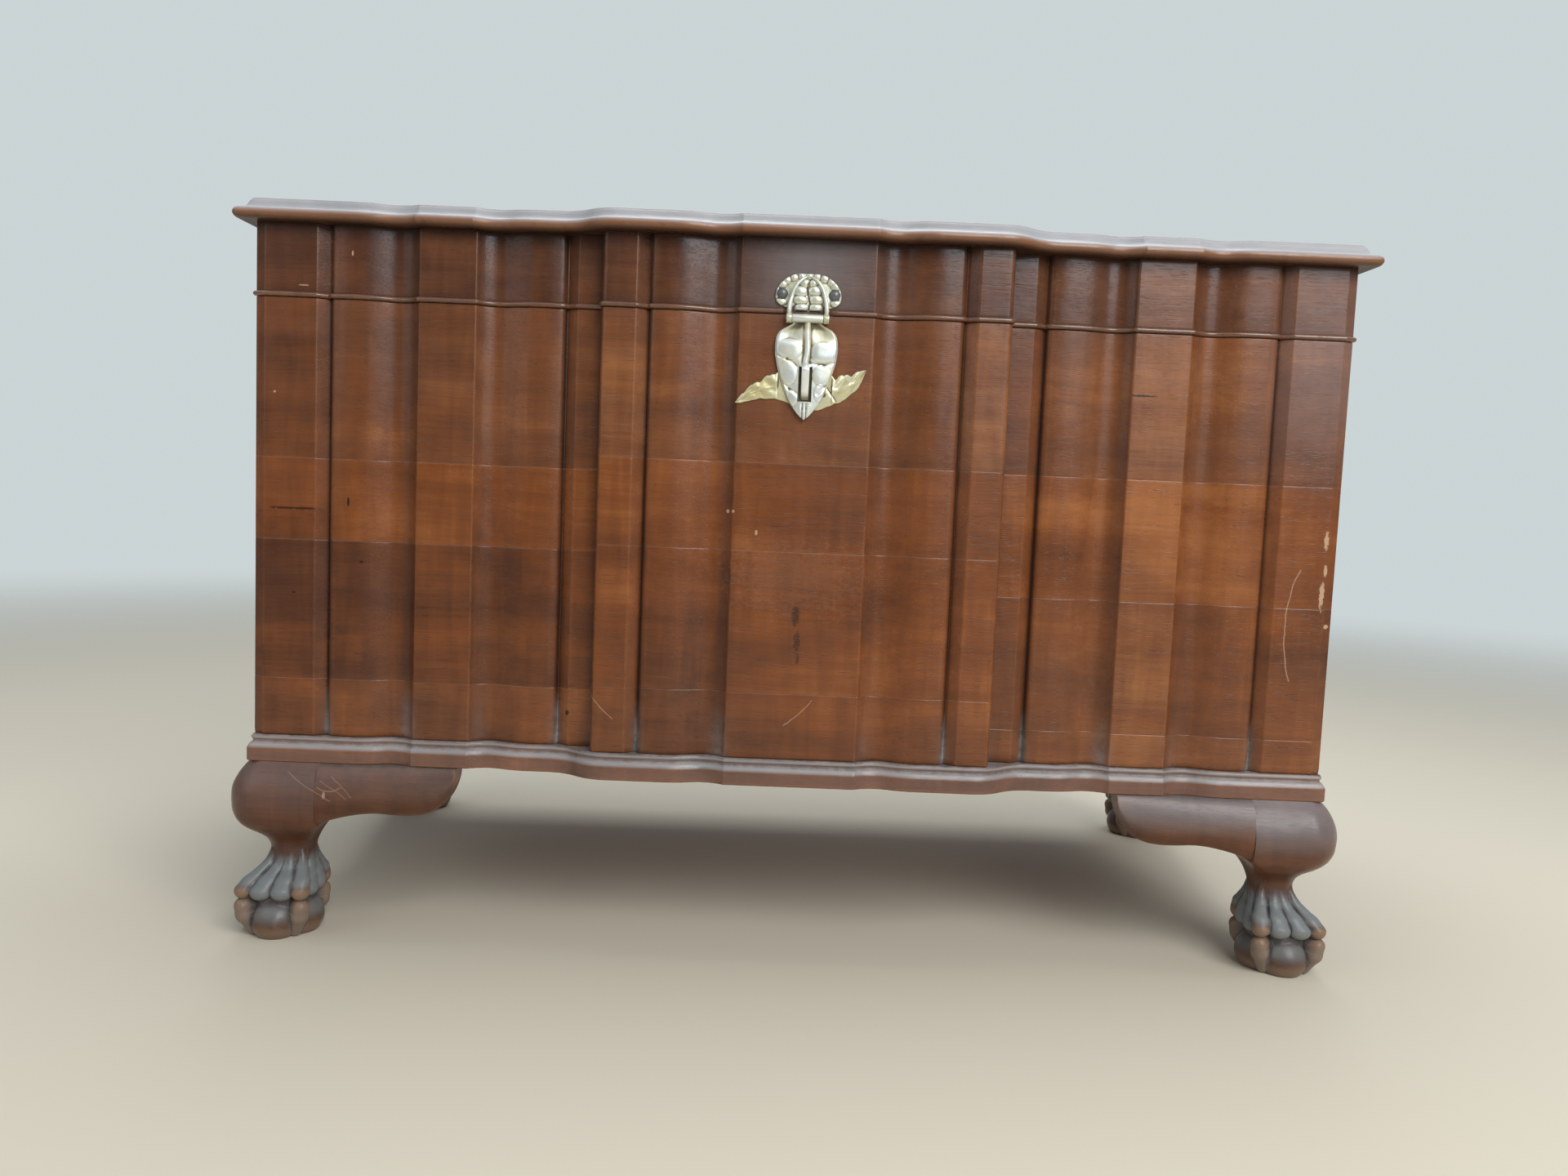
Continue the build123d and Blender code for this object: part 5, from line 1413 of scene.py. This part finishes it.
def castBar(points, radii, sides=12):  # a bent, tapering bar through (x, y, z) points in mm
    knots = np.array(points, float)
    run = np.concatenate([[0], np.cumsum(np.linalg.norm(np.diff(knots, axis=0), axis=1))])
    at = np.linspace(0, run[-1], 26)
    line = np.stack([curveThrough(at, list(zip(run, knots[:, k]))) for k in range(3)], axis=-1)
    size = np.interp(at, run, radii)
    size = size * np.sqrt(np.clip(1 - (np.abs(np.linspace(-1, 1, len(at))) ** 8), 0.02, 1))
    ahead = np.gradient(line, axis=0)
    ahead /= np.linalg.norm(ahead, axis=1)[:, None]
    side = np.cross(ahead, np.array([0, -1.0, 0.05]))
    side /= np.linalg.norm(side, axis=1)[:, None]
    up = np.cross(side, ahead)
    turn = np.linspace(0, 2 * math.pi, sides + 1)
    around = side[:, None] * np.cos(turn)[None, :, None] + up[:, None] * np.sin(turn)[None, :, None]
    rings = line[:, None] + size[:, None, None] * around
    bm = gridMesh(rings, {"edge": np.full(rings.shape[:2], 0.6), "recess": np.zeros(rings.shape[:2])})
    bmesh.ops.remove_doubles(bm, verts=bm.verts, dist=2e-6)
    bmesh.ops.holes_fill(bm, edges=[e for e in bm.edges if e.is_boundary])
    return bm


def makeLidPlate():
    zs = np.linspace(hasp["plateLow"], hasp["plateHigh"], 80)
    s = np.linspace(-1, 1, 121)
    half = curveThrough(zs, hasp["plateWidth"])
    z, share = np.meshgrid(zs, s, indexing="ij")
    x = half[:, None] * share
    relief = hasp["plateThick"] * 0.6 + 0.7 * (1 - share ** 2)
    crease = 1.3 * np.sin((z - 640) / 4.2)
    for way in (-1, 1):
        ring = np.hypot((x - way * 25.4) / 0.8, (z - 655.5) / 1.1)
        relief = relief - 1.0 * bump(ring, 0, 6.5)
    for leaf in hasp["leaves"]:
        relief = np.maximum(relief, hasp["plateThick"] * 0.5 + dome(x, z, *leaf, 2.6))
    for cx, cz, size in hasp["pearls"]:
        relief = np.maximum(relief, hasp["plateThick"] * 0.5 + dome(x, z, cx, cz, size, size, 2.4))
    cluster = np.max([dome(x - 0.4 * crease, z, *g, 3.2) for g in hasp["grapes"]], axis=0)
    relief = np.maximum(relief, hasp["plateThick"] * 0.7 + cluster)
    relief = relief - 1.6 * np.exp(-((x - crease) / 0.9) ** 2) * (1 - smoothStep(z, 664, 668))
    low, high = hasp["plateLow"], hasp["plateHigh"]
    ends = smoothStep(z, low, low + hasp["rim"][0]) * (1 - smoothStep(z, high - hasp["rim"][1], high))
    rimWay = np.minimum(smoothStep(1 - np.abs(share), 0, 0.06), ends)
    relief = relief * (0.25 + 0.75 * rimWay) + 0.10 * rippleField(x, z, 5)
    edge, recess = reliefMarks(relief, 4, 0.24)
    y = hasp["face"] - np.maximum(relief, 0.4)
    bm = backed(gridMesh(np.stack([x, y, z], axis=-1), {"edge": edge, "recess": recess}), hasp["face"])
    parts = []
    for way in (-1, 1):
        lugEnds = sorted((way * hasp["lugInner"], way * hasp["lugOuter"]))
        parts.append(roundBar(*lugEnds, hasp["lugRadius"], 16))
        stem = [(way * x, y, z) for x, y, z in hasp["stem"]]
        stem += [(sum(lugEnds) / 2, y, z) for y, z in hasp["stemFoot"]]
        parts.append(castBar(stem, hasp["stemRadii"]))
    joined(bm, parts)
    return makePiece("hasp_leaf_plate", bm, "lid", plateBrass, ["hasp_lid_plate"], sharp=55)


wing = {
    "left": {
        "spine": ((-66, 551), (-52, 560), (-36, 566), (-18, 570), (0, 570)),
        "half": ((-66, 0.3), (-60, 4.2), (-50, 7.2), (-38, 9.6), (-24, 14), (-12, 19), (0, 21)),
    },
    "right": {
        "spine": ((0, 570), (14, 566), (30, 566), (44, 572), (52, 578), (58, 586.5)),
        "half": ((0, 21), (12, 20), (24, 14), (36, 11.5), (46, 9), (53, 6.0), (58, 0.4)),
    },
    "ground": -24.9, "leastY": -24.6, "nailHole": (18.0, 561.5, 2.6), "fold": ((20, 570), (30, 556)),
}


def makeCatchPlate():
    columns = np.concatenate([np.linspace(-66, 0, 90), np.linspace(0, 58, 80)[1:]])
    spine, half = (
        np.where(
            columns < 0, curveThrough(columns, wing["left"][key]), curveThrough(columns, wing["right"][key])
        )
        for key in ("spine", "half")
    )
    t = np.linspace(-1, 1, 41)
    far = smoothStep(np.abs(columns), 20, 30)
    ragged = 1 + far * (0.30 * np.abs(np.sin(columns / 4.6)) + 0.14 * np.abs(np.sin(columns / 2.5 + 1)) - 0.2)
    x, share = np.meshgrid(columns, t, indexing="ij")
    z = (
        spine[:, None]
        + half[:, None] * np.where(t[None, :] > 0, ragged[:, None], 0.7 + 0.3 * ragged[:, None]) * share
    )
    spoke = np.abs(np.sin(x / 5.0 - share * 2.2 * np.sign(x)))
    vein = (
        0.9 * np.exp(-(share / 0.14) ** 2)
        + 1.3 * spoke ** 2 * (1 - np.abs(share) ** 2) * np.where(share > 0, 1, 0.5)
    )
    relief = (0.9 + vein) * smoothStep(1 - np.abs(share), 0, 0.12) + 0.12 * rippleField(x, z, 6)
    relief = np.where(np.abs(x) < 26, np.minimum(relief, 0.5), relief)
    relief = relief - 0.8 * np.exp(-lineDistance(x, z, *wing["fold"]) ** 2)
    edge, recess = reliefMarks(relief, 4, 0.25)
    y = np.minimum(wing["ground"] - relief * 0.85, wing["leastY"])
    hidden = (np.abs(x) < 7.0) & (z > 552.5) & (z < 588.5)  # painted shade: stays dark behind the slot
    holeX, holeZ, holeRadius = wing["nailHole"]
    hole = np.hypot(x - holeX, z - holeZ) < holeRadius
    # painted shade in the nail hole and behind the slot
    recess = np.where(hole | hidden, 1.0, recess)
    bm = backed(gridMesh(np.stack([x, y, z], axis=-1), {"edge": edge * 0.6, "recess": recess}), hasp["face"])
    return makePiece("hasp_wing_plate", bm, "case", wingBrass, ["catch_plate"], sharp=55)


staple = {
    "back": -26.0, "across": (-3.7, -3.5, -3.0, -1.2, 1.2, 3.0, 3.5, 3.7),
    "outline": (
        (-26.0, 556.2), (-26.8, 556.0), (-29.5, 563), (-32.2, 571), (-34.4, 578.5), (-35.4, 582.6),
        (-35.5, 584.6), (-34.8, 586.2), (-33.2, 586.9), (-26.0, 586.9),
    ),
}


def makeStaple():
    knots = np.array(staple["outline"])
    run = np.concatenate([[0], np.cumsum(np.linalg.norm(np.diff(knots, axis=0), axis=1))])
    at = np.linspace(0, run[-1], 60)
    line = np.stack([np.interp(at, run, knots[:, k]) for k in (0, 1)], axis=-1)
    x, y = np.meshgrid(staple["across"], line[:, 0], indexing="ij")
    z = np.broadcast_to(line[:, 1], x.shape)
    ease = np.interp(np.abs(x), (1.2, 3.0, 3.5, 3.7), (0, 0.12, 0.4, 0.8))
    points = np.stack([x, np.minimum(y + ease, staple["back"]), z - np.sign(z - 575) * ease * 0.3], axis=-1)
    marks = {"edge": np.full(x.shape, 0.8), "recess": 0.8 * (1 - smoothStep(z, 557, 565))}
    bm = backed(gridMesh(points, marks), staple["back"])
    bmesh.ops.remove_doubles(bm, verts=bm.verts, dist=1e-6)
    return makePiece("hasp_staple_loop", bm, "case", castBrass, ["hasp_staple"], sharp=50)


makeFlap()
makeLidPlate()
makeCatchPlate()
makeStaple()
print("hasp ready")


# plain boards keep their CAD shape, with eased edges
def easedCopy(node, body, material, ease=0.8, margin=4.0, tone=0.0, warm=0.2, lot=1.0):
    bm = bmesh.new()
    bm.from_mesh(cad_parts[node].data)
    bmesh.ops.remove_doubles(bm, verts=bm.verts, dist=1e-6)
    bmesh.ops.dissolve_limit(bm, angle_limit=0.02, verts=bm.verts, edges=bm.edges)
    corners = [e for e in bm.edges if e.calc_face_angle(0) > 1.2]
    bmesh.ops.bevel(bm, geom=corners, offset=ease * mm, segments=2, profile=0.5, affect="EDGES", material=-1)
    layers = {key: bm.verts.layers.float.new(key) for key in ("edge", "tone", "warm", "lot")}
    for v in bm.verts:
        v[layers["edge"]] = 0.7
    broad = [f for f in bm.faces if f.calc_area() > 4e-4]
    bmesh.ops.inset_individual(bm, faces=broad, thickness=margin * mm)
    for f in broad:
        for v in f.verts:
            v[layers["edge"]] = 0.0
    for v in bm.verts:
        v[layers["tone"]], v[layers["warm"]], v[layers["lot"]] = tone, warm, lot
    return makePiece(f"{node}_eased", bm, body, material, [node])


plainBoards = (
    ("case_side_left", "case", "case_wood", sideWood), ("case_side_right", "case", "case_wood", sideWood),
    ("case_back", "case", "case_wood", lidWood), ("case_floor", "case", "plain_wood", plainWood),
    ("skirt_left", "lid", "lid_wood", sideWood), ("skirt_right", "lid", "lid_wood", sideWood),
    ("skirt_back", "lid", "lid_wood", lidWood), ("base_back", "case", "case_wood", baseWood),
    ("lid_battens", "lid", "plain_wood", plainSideWood), ("lid_glue_blocks", "lid", "plain_wood", plainWood),
)
for k, (node, body, slotName, material) in enumerate(plainBoards):
    easedCopy(node, body, material, lot=1.0 + 0.9 * k, tone=0.1 * math.sin(k * 2.1))

keptNodes = {
    "leg_dowels": plainWood, "hinge_left_case_leaf": hingeBrass, "hinge_right_case_leaf": hingeBrass,
    "hinge_left_lid_leaf": hingeBrass, "hinge_right_lid_leaf": hingeBrass, "hinge_pins": screwSteel,
    "hinge_screws_case": screwSteel, "hinge_screws_lid": screwSteel, "catch_plate_screws": wingBrass,
    "lid_plate_screws": screwSteel, "hasp_pin": screwSteel,
}
for node, material in keptNodes.items():
    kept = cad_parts[node]
    kept.data.materials.clear()
    kept.data.materials.append(material)
print("plain boards ready")

# floor, light and camera
stage = {
    "floorSize": 14.0, "floorColour": (0.70, 0.655, 0.54, 1), "farColour": (0.60, 0.66, 0.67, 1),
    "nearFade": 1.6, "farFade": 5.0, "windowColour": (1.3, 1.7, 2.1, 1), "windowFrom": (0.02, 0.16),
    "windowTo": (0.78, 0.56), "dimColour": (0.07, 0.07, 0.07, 1), "asideColour": (0.25, 0.26, 0.275, 1),
    "overheadColour": (0.80, 0.95, 1.08, 1), "leftAmbient": (0.16, 0.165, 0.17, 1),
    "rightAmbient": (0.42, 0.43, 0.44, 1),
}


def makeFloor():
    bm = bmesh.new()
    bmesh.ops.create_circle(bm, cap_ends=True, segments=96, radius=stage["floorSize"])
    mesh = bpy.data.meshes.new("floor")
    bm.to_mesh(mesh)
    bm.free()
    floor = bpy.data.objects.new("floor", mesh)
    bpy.context.scene.collection.objects.link(floor)
    material = bpy.data.materials.new("paleFloor")
    material.use_nodes = True
    tree = material.node_tree
    shader = tree.nodes["Principled BSDF"]
    place = add(tree, "ShaderNodeTexCoord").outputs["Object"]
    distance = add(tree, "ShaderNodeVectorMath", {0: place}, operation="LENGTH").outputs["Value"]
    fade = rangeMap(tree, distance, stage["nearFade"], stage["farFade"])
    shader.inputs["Base Color"].default_value = stage["floorColour"]
    shader.inputs["Roughness"].default_value = 0.75
    clear = add(tree, "ShaderNodeBsdfTransparent")
    mixed = add(tree, "ShaderNodeMixShader", {0: fade, 1: shader.outputs[0], 2: clear.outputs[0]})
    tree.links.new(mixed.outputs[0], tree.nodes["Material Output"].inputs["Surface"])
    mesh.materials.append(material)
    return floor


lamps = {  # place, aim, size, power, colour
    "key": ((1.35, -2.6, 2.2), (0, 0, 0.4), 2.0, 80, (1.0, 0.985, 0.96)),
    "fill": ((-2.2, -2.0, 1.5), (0, 0, 0.4), 1.8, 10, (0.94, 0.97, 1.0)),
    "top": ((0.0, 0.6, 2.8), (0, 0, 0.3), 2.2, 46, (0.96, 0.98, 1.0)),
}


def makeLamp(name, place, aim, size, power, colour):
    light = bpy.data.lights.new(name, "AREA")
    light.shape = "SQUARE"
    light.size = size
    light.energy = power
    light.color = colour
    lamp = bpy.data.objects.new(name, light)
    lamp.location = place
    lamp.rotation_euler = (Vector(aim) - Vector(place)).to_track_quat("-Z", "Y").to_euler()
    bpy.context.scene.collection.objects.link(lamp)
    return lamp


def makeWorld():
    world = bpy.data.worlds.new("paleRoom")
    world.use_nodes = True
    tree = world.node_tree
    background = tree.nodes["Background"]
    rays = add(tree, "ShaderNodeLightPath")
    way = add(tree, "ShaderNodeSeparateXYZ", {0: add(tree, "ShaderNodeTexCoord").outputs["Generated"]})
    turn = maths(tree, "ARCTAN2", way.outputs[0], maths(tree, "MULTIPLY", way.outputs[1], -1.0))
    window = maths(
        tree, "MULTIPLY", rangeMap(tree, turn, *stage["windowFrom"]),
        rangeMap(tree, turn, *stage["windowTo"]),
    )
    window = maths(tree, "MULTIPLY", window, rangeMap(tree, way.outputs[2], 0.0, 0.10))
    aside = rangeMap(tree, maths(tree, "ABSOLUTE", turn), 0.70, 1.1)
    dim = blendColour(tree, aside, stage["dimColour"], stage["asideColour"])
    mirrored = blendColour(tree, window, dim, stage["windowColour"])
    overhead = rangeMap(tree, way.outputs[2], 0.30, 0.70, 0.0, 0.9)
    mirrored = blendColour(tree, overhead, mirrored, stage["overheadColour"])
    across = rangeMap(tree, way.outputs[0], -0.8, 0.8)
    softened = blendColour(tree, across, stage["leftAmbient"], stage["rightAmbient"])
    colour = blendColour(tree, rays.outputs["Is Glossy Ray"], softened, mirrored)
    seen = maths(tree, "MAXIMUM", rays.outputs["Is Camera Ray"], rays.outputs["Is Transmission Ray"])
    colour = blendColour(tree, seen, colour, stage["farColour"])
    tree.links.new(colour, background.inputs["Color"])
    bpy.context.scene.world = world


camera = {"place": (-0.0222, -1.4096, 0.4680), "yaw": 0.522, "pitch": -4.682, "roll": 2.365, "lens": 26.966}


def makeCamera():
    yaw, pitch, roll = (math.radians(camera[key]) for key in ("yaw", "pitch", "roll"))
    ahead = Vector((math.sin(yaw) * math.cos(pitch), math.cos(yaw) * math.cos(pitch), math.sin(pitch)))
    right = Vector((math.cos(yaw), -math.sin(yaw), 0))
    up = right.cross(ahead)
    right, up = math.cos(roll) * right + math.sin(roll) * up, -math.sin(roll) * right + math.cos(roll) * up
    data = bpy.data.cameras.new("view")
    data.lens = camera["lens"]
    data.sensor_width = 36
    data.clip_start = 0.01
    made = bpy.data.objects.new("view", data)
    turned = Matrix((right, up, -ahead)).transposed().to_4x4()
    made.matrix_world = Matrix.Translation(camera["place"]) @ turned
    bpy.context.scene.collection.objects.link(made)
    bpy.context.scene.camera = made


makeFloor()
for name, settings in lamps.items():
    makeLamp(name, *settings)
makeWorld()
makeCamera()
bpy.context.scene.view_settings.view_transform = "Standard"
print("stage ready")
